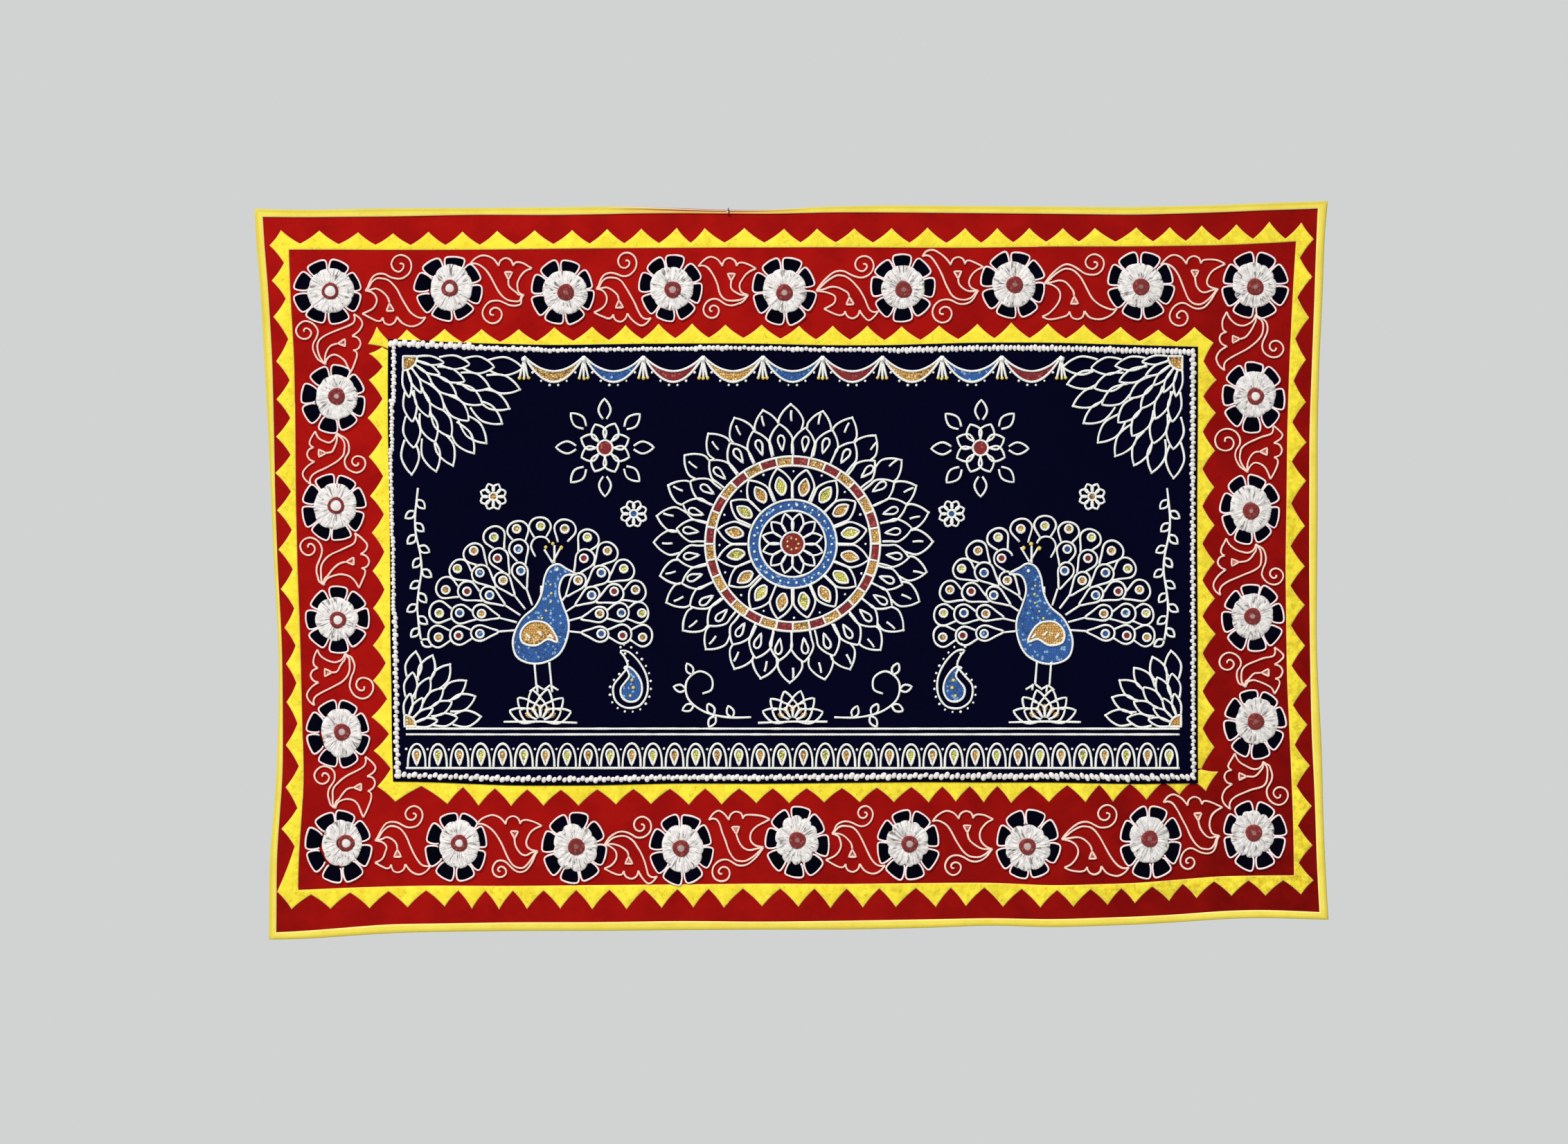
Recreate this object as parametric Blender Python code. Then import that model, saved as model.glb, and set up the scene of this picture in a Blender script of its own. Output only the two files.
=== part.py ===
"""A pipli applique panel as it hangs flat on a wall, with the one small nail that shows.

Frame: the origin is the middle of the panel's top edge, +X is to the right of someone facing
the panel, +Z is up and the panel faces -Y. Tables are in millimetres.

The panel is a red ground cloth with a yellow binding folded round its edge, two yellow sawtooth
borders, a navy centre cloth with a white ruched trim, and a ring of 26 flowers, each a navy
petal piece under a white ruched rosette. Every piece lies on the same hung surface, SKIN apart.
"""
import math
import random
from bisect import bisect_left
from collections import namedtuple

import bmesh
import bpy
import numpy as np
from mathutils import Matrix, Vector

MM = 0.001

# Cloth thicknesses and the clearance between layers, in mm
SKIN = 0.35
GROUND_THICK = 1.2
PIECE_THICK = 1.0
BINDING_THICK = 1.0

# Faces this near to one plane, in radians, are joined where no crease runs between them
SAME_PLANE = 1e-3

# A line's corner takes the place of any station nearer to it than this
CORNER_CLEAR = 26.0

# Sawtooth borders
VALLEY_RISE = 7.0
INNER_STRIP_TUCK = 10.0
TOOTH_WANDER = 1.2
TIP_WANDER = 1.0
CUT_BEFORE_CORNER = 8.0

# Centre cloth: its rim lies over the inner sawtooth, the rest on the ground cloth
RIM_WIDTH = 14.0
RIM_SLOPE = 10.0
TRIM_INSET = 3.5
TRIM_WIDTH = 7.0
TRIM_EDGE_HIGH = 1.2
TRIM_CREST_HIGH = 3.2

# Flowers
PETAL_COUNT = 8
PETAL_REACH = 45.0
PETAL_ROOT = 29.5
PETAL_HALF_ANGLE = math.radians(17.5)
PETAL_ROOT_HALF_ANGLE = math.radians(20.5)
PETAL_WANDER = 1.0
ROSETTE_COLUMNS = 12
ROSETTE_LOBE = 1.6

# Nail: driven into the wall just above the top edge and bent down over it
NAIL_X = -88.0
NAIL_RADIUS = 0.7
NAIL_BEND = 2.4
NAIL_BEND_STEPS = 4
NAIL_BEHIND = 16.0
NAIL_DROP = 1.0
NAIL_HEAD_RADIUS = 1.5
NAIL_HEAD_LONG = 3.2

# The lines of the panel at stations along each side. On the top and bottom a station is an x and
# a line gives its z; on the left and right a station is a z and a line gives its x.
Station = namedtuple("Station", "along cloth binding tips strip centre")

TOP = [
    Station(-680, -3.4, -13.6, -32.0, -57.6, -183.0),
    Station(-564, -0.5, -12.6, -35.2, -59.5, -184.0),
    Station(-448, 0.0, -9.7, -32.2, -59.0, -189.5),
    Station(-332, 1.0, -10.6, -31.0, -58.0, -192.5),
    Station(-215, 2.4, -8.7, -29.5, -57.0, -190.5),
    Station(-90, -1.9, -9.6, -28.5, -56.0, -190.0),
    Station(-31, -1.9, -9.6, -29.6, -56.0, -190.5),
    Station(0, 0.0, -8.4, -29.5, -55.8, -191.5),
    Station(46, 1.9, -6.8, -30.0, -55.6, -192.5),
    Station(133, 3.9, -6.8, -28.2, -56.0, -192.5),
    Station(249, 2.9, -7.7, -29.8, -56.5, -189.0),
    Station(365, 1.9, -8.7, -28.6, -54.7, -189.0),
    Station(482, 1.0, -10.2, -27.5, -54.7, -192.5),
    Station(598, 3.4, -6.8, -25.3, -53.0, -194.5),
    Station(656, 6.3, -3.9, -20.5, -50.5, -194.5),
]
RIGHT = [
    Station(-29, 746.0, 734.2, 731.0, 705.0, 567.7),
    Station(-68, 744.4, 732.3, 729.0, 704.0, 567.7),
    Station(-116, 742.5, 730.4, 726.5, 700.5, 567.7),
    Station(-213, 737.6, 726.5, 719.5, 695.5, 567.7),
    Station(-310, 735.2, 722.6, 718.5, 692.5, 567.7),
    Station(-407, 735.7, 722.6, 718.5, 691.5, 566.8),
    Station(-503, 735.2, 722.6, 718.0, 690.2, 566.8),
    Station(-600, 734.3, 723.6, 718.7, 691.5, 567.3),
    Station(-658, 736.2, 724.6, 719.7, 692.5, 567.3),
    Station(-745, 741.0, 726.5, 722.5, 696.5, 567.3),
    Station(-794, 742.5, 729.4, 725.5, 698.5, 567.3),
    Station(-842, 743.0, 731.3, 727.5, 700.5, 567.3),
    Station(-910, 745.9, 733.3, 729.5, 702.0, 567.3),
]
BOTTOM = [
    Station(656, -992.2, -980.6, -960.8, -933.2, -804.4),
    Station(598, -994.1, -982.5, -963.2, -934.1, -804.4),
    Station(540, -998.5, -987.4, -967.5, -939.0, -804.4),
    Station(482, -1001.9, -990.3, -972.5, -943.8, -805.4),
    Station(365, -1005.8, -994.1, -979.8, -947.2, -803.0),
    Station(278, -1002.8, -992.2, -976.5, -943.3, -803.4),
    Station(191, -1006.7, -994.1, -977.6, -943.8, -802.5),
    Station(75, -1008.7, -995.6, -978.4, -944.8, -803.4),
    Station(-41, -1008.7, -997.0, -976.2, -944.3, -804.9),
    Station(-157, -1009.6, -996.1, -979.5, -945.7, -804.4),
    Station(-273, -1010.6, -998.0, -980.0, -946.7, -807.3),
    Station(-390, -1010.6, -998.0, -981.0, -947.7, -807.3),
    Station(-506, -1012.1, -1000.0, -976.6, -947.2, -802.5),
    Station(-564, -1014.0, -1000.9, -977.8, -948.6, -801.5),
    Station(-622, -1017.9, -1005.8, -979.5, -950.6, -801.5),
    Station(-680, -1022.2, -1010.6, -980.7, -953.5, -801.5),
]
LEFT = [
    Station(-910, -729.4, -718.7, -718.0, -687.8, -556.0),
    Station(-842, -722.6, -713.9, -709.0, -682.9, -557.0),
    Station(-794, -719.7, -710.0, -705.5, -680.1, -557.0),
    Station(-745, -717.8, -710.0, -705.5, -682.0, -558.0),
    Station(-658, -715.9, -710.6, -706.2, -684.4, -558.5),
    Station(-600, -717.8, -712.0, -707.1, -685.9, -560.0),
    Station(-503, -723.6, -717.8, -715.5, -689.7, -560.0),
    Station(-407, -727.5, -721.2, -720.0, -692.1, -561.0),
    Station(-310, -731.3, -722.6, -720.3, -692.6, -563.4),
    Station(-213, -736.7, -724.6, -719.7, -693.6, -563.4),
    Station(-116, -741.5, -730.4, -725.5, -699.4, -563.0),
    Station(-63, -746.8, -735.2, -729.4, -702.3, -563.0),
    Station(-29, -749.7, -738.1, -730.4, -702.3, -563.0),
]

# A side's stations run clockwise as seen from the front; out is the way off the panel
Side = namedtuple("Side", "name along_axis out stations")
SIDES = [
    Side("top", 0, 1, TOP),
    Side("right", 1, 1, RIGHT),
    Side("bottom", 0, -1, BOTTOM),
    Side("left", 1, -1, LEFT),
]

# Corners (x, z) of each line, clockwise from the top left
Corners = namedtuple("Corners", "top_left top_right bottom_right bottom_left")
CORNERS = {
    "cloth": Corners((-750.7, -1.0), (750.7, 9.7), (750.7, -995.0), (-730.4, -1023.0)),
    "binding": Corners((-738.5, -13.0), (735.5, -1.2), (737.4, -984.0), (-719.5, -1012.6)),
    "strip": Corners((-701.5, -59.0), (705.2, -47.4), (702.3, -933.0), (-688.8, -953.5)),
    "centre": Corners((-562.9, -184.0), (567.7, -194.6), (567.7, -804.4), (-556.1, -802.0)),
}

# The lines that the teeth of a border touch: their tips and the valleys between them
Line = namedtuple("Line", "along tips valleys")

INNER_TOP = [
    Line(-579, -166.5, -190.0),
    Line(-537, -170.6, -190.0),
    Line(-385, -169.5, -187.5),
    Line(-278, -166.8, -186.0),
    Line(-180, -162.6, -183.0),
    Line(-92, -163.6, -181.8),
    Line(11, -165.2, -184.0),
    Line(154, -165.8, -185.5),
    Line(307, -161.4, -182.5),
    Line(405, -163.6, -183.5),
    Line(509, -170.4, -188.0),
    Line(563, -166.5, -188.0),
]
INNER_RIGHT = [
    Line(-189, 591.0, 576.0),
    Line(-241, 594.5, 576.4),
    Line(-350, 591.5, 574.8),
    Line(-560, 592.5, 574.5),
    Line(-754, 592.0, 575.0),
    Line(-788, 596.0, 572.5),
]
INNER_BOTTOM = [
    Line(579, -814.7, -801.5),
    Line(542, -820.0, -801.5),
    Line(498, -826.4, -803.0),
    Line(449, -829.6, -806.5),
    Line(307, -831.4, -808.5),
    Line(192, -830.5, -809.5),
    Line(96, -831.5, -811.0),
    Line(-196, -834.4, -812.5),
    Line(-345, -836.5, -814.0),
    Line(-432, -835.5, -811.0),
    Line(-480, -834.0, -809.0),
    Line(-553, -830.5, -808.0),
]
INNER_LEFT = [
    Line(-809, -578.0, -558.5),
    Line(-759, -583.5, -560.5),
    Line(-711, -586.0, -563.0),
    Line(-660, -583.5, -566.0),
    Line(-540, -584.8, -568.0),
    Line(-445, -586.2, -568.5),
    Line(-350, -590.0, -570.5),
    Line(-290, -591.7, -571.6),
    Line(-241, -589.4, -570.0),
    Line(-191, -591.0, -571.6),
]
INNER_LINES = {"top": INNER_TOP, "right": INNER_RIGHT, "bottom": INNER_BOTTOM, "left": INNER_LEFT}

# Rows of teeth, clockwise. Some tips have a place along the side, and those between them are
# spaced evenly. A valley lies midway between two tips, but for the share given of a row's first
# and last one.
Tip = namedtuple("Tip", "number along")
Teeth = namedtuple("Teeth", "side tips first_valley last_valley", defaults=(0.5, 0.5))
OUTER_TEETH = [
    Teeth("top", [
        Tip(1, -713), Tip(3, -605), Tip(7, -411), Tip(9, -306), Tip(12, -160), Tip(13, -121),
        Tip(15, -10), Tip(16, 36), Tip(20, 243), Tip(24, 424), Tip(25, 482), Tip(30, 713)]),
    Teeth("right", [
        Tip(1, -44), Tip(2, -97), Tip(5, -272), Tip(7, -382), Tip(8, -445), Tip(12, -668),
        Tip(16, -891), Tip(17, -940)]),
    Teeth("bottom", [
        Tip(1, 712), Tip(4, 566), Tip(5, 528), Tip(6, 480), Tip(7, 442), Tip(9, 348),
        Tip(11, 244), Tip(12, 202), Tip(13, 146), Tip(16, 10), Tip(18, -94), Tip(20, -181),
        Tip(22, -278), Tip(24, -369), Tip(27, -484), Tip(28, -536), Tip(31, -698)]),
    Teeth("left", [
        Tip(1, -956), Tip(2, -868), Tip(5, -691), Tip(7, -587), Tip(9, -478), Tip(10, -423),
        Tip(13, -268), Tip(14, -215), Tip(15, -153), Tip(17, -53)], first_valley=0.72),
]
INNER_TEETH = [
    Teeth("top", [
        Tip(1, -579), Tip(2, -537), Tip(7, -278), Tip(11, -92), Tip(13, 11), Tip(16, 154),
        Tip(18, 260), Tip(19, 307), Tip(24, 563)]),
    Teeth("right", [
        Tip(1, -189), Tip(2, -241), Tip(3, -287), Tip(6, -444), Tip(9, -596), Tip(11, -702),
        Tip(12, -754), Tip(13, -788)], last_valley=0.9),
    Teeth("bottom", [
        Tip(1, 579), Tip(2, 542), Tip(4, 449), Tip(5, 411), Tip(7, 307), Tip(8, 269),
        Tip(10, 192), Tip(14, -3), Tip(17, -143), Tip(18, -196), Tip(21, -346), Tip(24, -480),
        Tip(25, -553)]),
    Teeth("left", [
        Tip(1, -809), Tip(2, -759), Tip(3, -712), Tip(5, -612), Tip(9, -403), Tip(12, -241),
        Tip(13, -204), Tip(14, -191)], last_valley=0.69),
]

# Soft folds of the hung cloth. Each family is a set of parallel creases: place is measured
# across them, and depth is how far the cloth stands out from the wall there.
Crease = namedtuple("Crease", "place depth")
Folds = namedtuple("Folds", "across_x across_z creases")
RISING_FOLDS = Folds(1.0, -0.55, [
    Crease(-760, 0.0),
    Crease(-600, 2.6),
    Crease(-450, -1.0),
    Crease(-270, 3.0),
    Crease(-110, 0.2),
    Crease(70, 3.4),
    Crease(230, -0.6),
    Crease(410, 2.8),
    Crease(560, 4.2),
    Crease(740, -0.8),
    Crease(900, 3.0),
    Crease(1080, 0.0),
    Crease(1310, 2.4),
])
FALLING_FOLDS = Folds(1.0, 0.32, [
    Crease(-1080, 1.0),
    Crease(-860, -1.4),
    Crease(-650, 2.2),
    Crease(-460, -0.6),
    Crease(-230, 2.0),
    Crease(0, -1.0),
    Crease(240, 1.8),
    Crease(450, -1.2),
    Crease(640, 1.6),
    Crease(770, -0.6),
])
LEVEL_FOLDS = Folds(0.0, 1.0, [
    Crease(-1030, 1.0),
    Crease(-880, 5.0),
    Crease(-500, 3.0),
    Crease(-130, 5.5),
    Crease(10, 0.0),
])
FOLD_FAMILIES = [RISING_FOLDS, FALLING_FOLDS, LEVEL_FOLDS]

# Flowers: where the middle lies (x, z) and how far the petals are turned, anticlockwise degrees
Flower = namedtuple("Flower", "name x z turn")
FLOWERS = [
    Flower("top_1", -647, -118, 22),
    Flower("top_2", -478, -114, -12),
    Flower("top_3", -319, -119, -17),
    Flower("top_4", -168, -113, -10),
    Flower("top_5", -10, -117, -18),
    Flower("top_6", 156, -112, 0),
    Flower("top_7", 310, -108, -14),
    Flower("top_8", 488, -109, -20),
    Flower("top_9", 648, -109, 22),
    Flower("right_1", 645, -265, -2),
    Flower("right_2", 641, -422, -14),
    Flower("right_3", 645, -573, 7),
    Flower("right_4", 647, -722, 12),
    Flower("bottom_9", 647, -878, 22),
    Flower("bottom_8", 501, -886, -19),
    Flower("bottom_7", 330, -890, -17),
    Flower("bottom_6", 163, -890, 15),
    Flower("bottom_5", 8, -887, -7),
    Flower("bottom_4", -153, -896, -18),
    Flower("bottom_3", -303, -895, -11),
    Flower("bottom_2", -467, -893, 19),
    Flower("bottom_1", -632, -893, -15),
    Flower("left_4", -633, -735, -22),
    Flower("left_3", -633, -575, 0),
    Flower("left_2", -639, -419, 17),
    Flower("left_1", -639, -268, -13),
]

# Half section of a rosette from its rim to its middle: radius, and height over the petals
RosetteRing = namedtuple("RosetteRing", "radius high")
ROSETTE_RINGS = [
    RosetteRing(30.5, 0.0),
    RosetteRing(31.0, 1.0),
    RosetteRing(24.0, 4.2),
    RosetteRing(13.0, 2.6),
    RosetteRing(10.5, 4.8),
]

Finish = namedtuple("Finish", "name colour roughness metallic")
RED_COTTON = Finish("red_cotton", (0.40, 0.008, 0.008), 0.85, 0.0)
NAVY_COTTON = Finish("navy_cotton", (0.004, 0.004, 0.020), 0.75, 0.0)
YELLOW_COTTON = Finish("yellow_cotton", (0.90, 0.78, 0.06), 0.85, 0.0)
BINDING_COTTON = Finish("binding_cotton", (0.82, 0.70, 0.12), 0.85, 0.0)
WHITE_COTTON = Finish("white_cotton", (0.75, 0.75, 0.72), 0.9, 0.0)
NAIL_STEEL = Finish("nail_steel", (0.35, 0.28, 0.25), 0.4, 1.0)


def make_material(finish):
    """The material of a finish, made once."""
    found = bpy.data.materials.get(finish.name)
    if found:
        return found
    material = bpy.data.materials.new(finish.name)
    material.use_nodes = True
    shader = material.node_tree.nodes["Principled BSDF"]
    shader.inputs["Base Color"].default_value = (*finish.colour, 1.0)
    shader.inputs["Roughness"].default_value = finish.roughness
    shader.inputs["Metallic"].default_value = finish.metallic
    return material


def fold_depth(family, x, z):
    """How far one family of folds brings the cloth off the wall at (x, z), in mm."""
    across = family.across_x * x + family.across_z * z
    places = [crease.place for crease in family.creases]
    depths = [crease.depth for crease in family.creases]
    return float(np.interp(across, places, depths))


def hung_y(x, z):
    """The y of the ground cloth's front face at (x, z), in mm: 0 at the middle of the top edge."""
    forward = sum(fold_depth(family, x, z) for family in FOLD_FAMILIES)
    at_origin = sum(fold_depth(family, 0.0, 0.0) for family in FOLD_FAMILIES)
    return at_origin - forward


def facet_of(face):
    """Which facet of the hung cloth a face of a flat piece lies on: its place in each family."""
    middle = face.calc_center_median()
    return tuple(
        bisect_left([crease.place for crease in family.creases],
                    family.across_x * middle.x + family.across_z * middle.z)
        for family in FOLD_FAMILIES)


def hang(bm, rise):
    """Cut a flat piece along every crease, then bend it onto the hung cloth, rise mm in front."""
    for family in FOLD_FAMILIES:
        normal = Vector((family.across_x, 0.0, family.across_z))
        for crease in family.creases[1:-1]:
            bmesh.ops.bisect_plane(
                bm, geom=bm.verts[:] + bm.edges[:] + bm.faces[:], dist=1e-4,
                plane_co=normal * (crease.place / normal.length_squared),
                plane_no=normal.normalized())
    bm.normal_update()
    facets = {face: facet_of(face) for face in bm.faces}
    needless = []
    for edge in bm.edges:
        one, other = edge.link_faces
        if facets[one] == facets[other] and one.normal.angle(other.normal) < SAME_PLANE:
            needless.append(edge)
    bmesh.ops.dissolve_edges(bm, edges=needless, use_verts=True)
    for vert in bm.verts:
        vert.co.y += hung_y(vert.co.x, vert.co.z) - rise


def finish_piece(name, bm, finish, root, place=(0.0, 0.0), turn=0.0):
    """Turn a bmesh in millimetres into a named object whose origin is at its own place."""
    bmesh.ops.recalc_face_normals(bm, faces=bm.faces[:])
    bmesh.ops.scale(bm, vec=(MM, MM, MM), verts=bm.verts[:])
    mesh = bpy.data.meshes.new(name)
    bm.to_mesh(mesh)
    bm.free()
    piece = bpy.data.objects.new(name, mesh)
    bpy.context.scene.collection.objects.link(piece)
    piece.parent = root
    piece.location = (place[0] * MM, 0.0, place[1] * MM)
    piece.rotation_euler = (0.0, -math.radians(turn), 0.0)
    stand = Matrix.Translation(piece.location) @ piece.rotation_euler.to_matrix().to_4x4()
    mesh.transform(stand.inverted())
    mesh.materials.append(make_material(finish))
    return piece


def line_at(rows, line, along):
    """Where a named line lies at one place along a side, read from its rows."""
    rows = sorted(rows)
    return float(np.interp(along, [row.along for row in rows], [getattr(row, line) for row in rows]))


def side_point(side, along, offset):
    """A point (x, z) from a place along a side and the height of a line there."""
    if side.along_axis == 0:
        return (along, offset)
    return (offset, along)


def side_run(index, line, inset):
    """One side of a line, from its first corner to the last station before the next corner."""
    side = SIDES[index]
    start = CORNERS[line][index]
    end = CORNERS[line][(index + 1) % 4]
    before = SIDES[index - 1]
    low, high = sorted((start[side.along_axis], end[side.along_axis]))
    across = 1 - side.along_axis
    corner = [0.0, 0.0]
    corner[across] = start[across] - side.out * inset
    corner[side.along_axis] = start[side.along_axis] - before.out * inset
    points = [tuple(corner)]
    for row in side.stations:
        if low + CORNER_CLEAR < row.along < high - CORNER_CLEAR:
            points.append(side_point(side, row.along, getattr(row, line) - side.out * inset))
    return points


def loop_of(line, inset=0.0):
    """A closed loop of points along a named line, moved towards the panel's middle by inset."""
    points = []
    for index in range(4):
        points += side_run(index, line, inset)
    return points


def tooth_row(teeth, lines, wander):
    """Tips and valleys along one side, clockwise, starting and ending on a tip."""
    side = next(side for side in SIDES if side.name == teeth.side)
    placed = [tip.number for tip in teeth.tips]
    count = placed[-1]
    tips = np.interp(range(1, count + 1), placed, [tip.along for tip in teeth.tips])
    for number in range(1, count + 1):
        if number not in placed:
            tips[number - 1] += wander.uniform(-TOOTH_WANDER, TOOTH_WANDER)
    shares = [teeth.first_valley] + [0.5] * (count - 3) + [teeth.last_valley]
    points = []
    for index, along in enumerate(tips):
        reach = side.out * wander.uniform(-TIP_WANDER, TIP_WANDER)
        points.append(side_point(side, along, line_at(lines, "tips", along) + reach))
        if index < count - 1:
            valley = along + (tips[index + 1] - along) * shares[index]
            points.append(side_point(side, valley, line_at(lines, "valleys", valley)))
    return points


def add_loop(bm, points, y):
    """The vertices of a closed loop at one depth, with the edges between them."""
    verts = [bm.verts.new((x, y, z)) for x, z in points]
    edges = [bm.edges.new((verts[i - 1], verts[i])) for i in range(len(verts))]
    return verts, edges


def flat_solid(loops, thick):
    """A flat piece inside its first loop and outside any others, its back at y = 0."""
    bm = bmesh.new()
    edges = []
    for points in loops:
        edges += add_loop(bm, points, 0.0)[1]
    bmesh.ops.triangle_fill(bm, use_beauty=True, edges=edges, normal=(0.0, -1.0, 0.0))
    front = bmesh.ops.extrude_face_region(bm, geom=bm.faces[:])["geom"]
    bmesh.ops.translate(bm, vec=(0.0, -thick, 0.0),
                        verts=[part for part in front if isinstance(part, bmesh.types.BMVert)])
    return bm


def ring_solid(section):
    """A frame from the loops of its closed section, each with its height over the layer below."""
    bm = bmesh.new()
    loops = [add_loop(bm, points, -high)[0] for points, high in section]
    for loop, other in zip(loops, loops[1:] + loops[:1]):
        for i in range(len(loop)):
            bm.faces.new((loop[i - 1], loop[i], other[i], other[i - 1]))
    bmesh.ops.triangulate(bm, faces=bm.faces[:])
    return bm


def make_ground(root):
    """The red cloth, whose edge lies inside the fold of the binding."""
    edge = BINDING_THICK + SKIN
    bm = flat_solid([loop_of("cloth", edge)], GROUND_THICK)
    hang(bm, -GROUND_THICK)
    finish_piece("ground_cloth", bm, RED_COTTON, root)


def binding_leg():
    """The inner edge of the binding's legs, with one point for each point of the outer edge."""
    points = []
    for corner, side in zip(CORNERS["binding"], SIDES):
        points.append(corner)
        points += [side_point(side, row.along, row.binding) for row in side.stations]
    return points


def make_binding(root):
    """One strip folded round the edge: a front leg, a web over the edge and a back leg."""
    front = SKIN + BINDING_THICK
    behind = -(GROUND_THICK + SKIN)
    outer = loop_of("cloth")
    web = loop_of("cloth", BINDING_THICK)
    leg = binding_leg()
    bm = ring_solid([
        (outer, front),
        (leg, front),
        (leg, SKIN),
        (web, SKIN),
        (web, behind),
        (leg, behind),
        (leg, behind - BINDING_THICK),
        (outer, behind - BINDING_THICK),
    ])
    hang(bm, 0.0)
    finish_piece("edge_binding", bm, BINDING_COTTON, root)


def make_outer_sawtooth(root):
    """The outer yellow border: one frame with teeth that point out."""
    wander = random.Random(11)
    points = []
    for teeth, side in zip(OUTER_TEETH, SIDES):
        lines = [Line(row.along, row.tips, row.strip + side.out * VALLEY_RISE)
                 for row in side.stations]
        points += tooth_row(teeth, lines, wander)
    bm = flat_solid([points, loop_of("strip")], PIECE_THICK)
    hang(bm, SKIN)
    finish_piece("sawtooth_outer", bm, YELLOW_COTTON, root)


def cut_before(row, inner_corner):
    """The two banks of the cut beside a row's last tooth, where one inner strip meets the next."""
    outer = Vector(row[-2])
    up = math.copysign(1.0, row[-1][1] - row[0][1])
    inner = Vector(inner_corner) - Vector((0.0, up * CUT_BEFORE_CORNER))
    across = (inner - outer).orthogonal().normalized() * SKIN
    return (outer + across, inner + across), (outer - across, inner - across)


def make_inner_sawtooth(root):
    """The inner yellow border: two strips that turn two corners each and meet beside the others."""
    wander = random.Random(23)
    rows = [tooth_row(teeth, INNER_LINES[teeth.side], wander) for teeth in INNER_TEETH]
    top, right, bottom, left = rows
    runs = [side_run(index, "centre", INNER_STRIP_TUCK) for index in range(4)]
    top_left = cut_before(left, runs[0][0])
    bottom_right = cut_before(right, runs[2][0])
    for name, teeth, start, end, inner in (
            ("sawtooth_inner_upper", [left[-1], *top, *right[:-2]], top_left, bottom_right,
             runs[0] + runs[1]),
            ("sawtooth_inner_lower", [right[-1], *bottom, *left[:-2]], bottom_right, top_left,
             runs[2] + runs[3])):
        start_outer, start_inner = nearer_bank(start, teeth[0])
        end_outer, end_inner = nearer_bank(end, teeth[-1])
        points = [start_outer, *teeth, end_outer, end_inner, *reversed(inner), start_inner]
        bm = flat_solid([[(point[0], point[1]) for point in points]], PIECE_THICK)
        hang(bm, SKIN)
        finish_piece(name, bm, YELLOW_COTTON, root)


def nearer_bank(banks, tip):
    """Of a cut's two banks, the one on the same side as a tooth."""
    return min(banks, key=lambda bank: (bank[0] - Vector(tip)).length)


def make_centre(root):
    """The navy cloth: its rim stands on the inner sawtooth, and inside that it lies on the red."""
    on_strip = 2 * SKIN + PIECE_THICK
    section = [(0.0, on_strip), (RIM_WIDTH, on_strip), (RIM_WIDTH + RIM_SLOPE, SKIN)]
    bm = bmesh.new()
    loops = [add_loop(bm, loop_of("centre", inset), -high) for inset, high in section]
    for (outer, _), (inner, _) in zip(loops, loops[1:]):
        for i in range(len(outer)):
            bm.faces.new((outer[i - 1], outer[i], inner[i], inner[i - 1]))
    bmesh.ops.triangulate(bm, faces=bm.faces[:])
    bmesh.ops.triangle_fill(bm, use_beauty=True, edges=loops[-1][1], normal=(0.0, -1.0, 0.0))
    front = bmesh.ops.extrude_face_region(bm, geom=bm.faces[:])["geom"]
    bmesh.ops.translate(bm, vec=(0.0, -PIECE_THICK, 0.0),
                        verts=[part for part in front if isinstance(part, bmesh.types.BMVert)])
    hang(bm, 0.0)
    finish_piece("centre_cloth", bm, NAVY_COTTON, root)


def make_trim(root):
    """The white ruched trim: a low ridge just inside the centre cloth's edge."""
    outer = loop_of("centre", TRIM_INSET)
    crest = loop_of("centre", TRIM_INSET + TRIM_WIDTH / 2)
    inner = loop_of("centre", TRIM_INSET + TRIM_WIDTH)
    bm = ring_solid([
        (outer, 0.0),
        (outer, TRIM_EDGE_HIGH),
        (crest, TRIM_CREST_HIGH),
        (inner, TRIM_EDGE_HIGH),
        (inner, 0.0),
    ])
    on_rim = 3 * SKIN + 2 * PIECE_THICK
    hang(bm, on_rim)
    finish_piece("centre_trim", bm, WHITE_COTTON, root)


def polar(flower, radius, angle):
    """A point (x, z) round a flower's middle."""
    return (flower.x + radius * math.cos(angle), flower.z + radius * math.sin(angle))


def make_petals(flower, wander, root):
    """The navy piece under a rosette, notched between its eight petals."""
    points = []
    for index in range(PETAL_COUNT):
        middle = math.radians(flower.turn + 360 / PETAL_COUNT * index)
        longer = wander.uniform(-PETAL_WANDER, PETAL_WANDER)
        for radius, offset in (
                (PETAL_ROOT, -PETAL_ROOT_HALF_ANGLE),
                (PETAL_REACH + longer, -PETAL_HALF_ANGLE),
                (PETAL_REACH + longer, PETAL_HALF_ANGLE),
                (PETAL_ROOT, PETAL_ROOT_HALF_ANGLE)):
            points.append(polar(flower, radius, middle + offset))
    bm = flat_solid([points], PIECE_THICK)
    hang(bm, SKIN)
    finish_piece("petals_" + flower.name, bm, NAVY_COTTON, root, (flower.x, flower.z), flower.turn)


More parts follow.
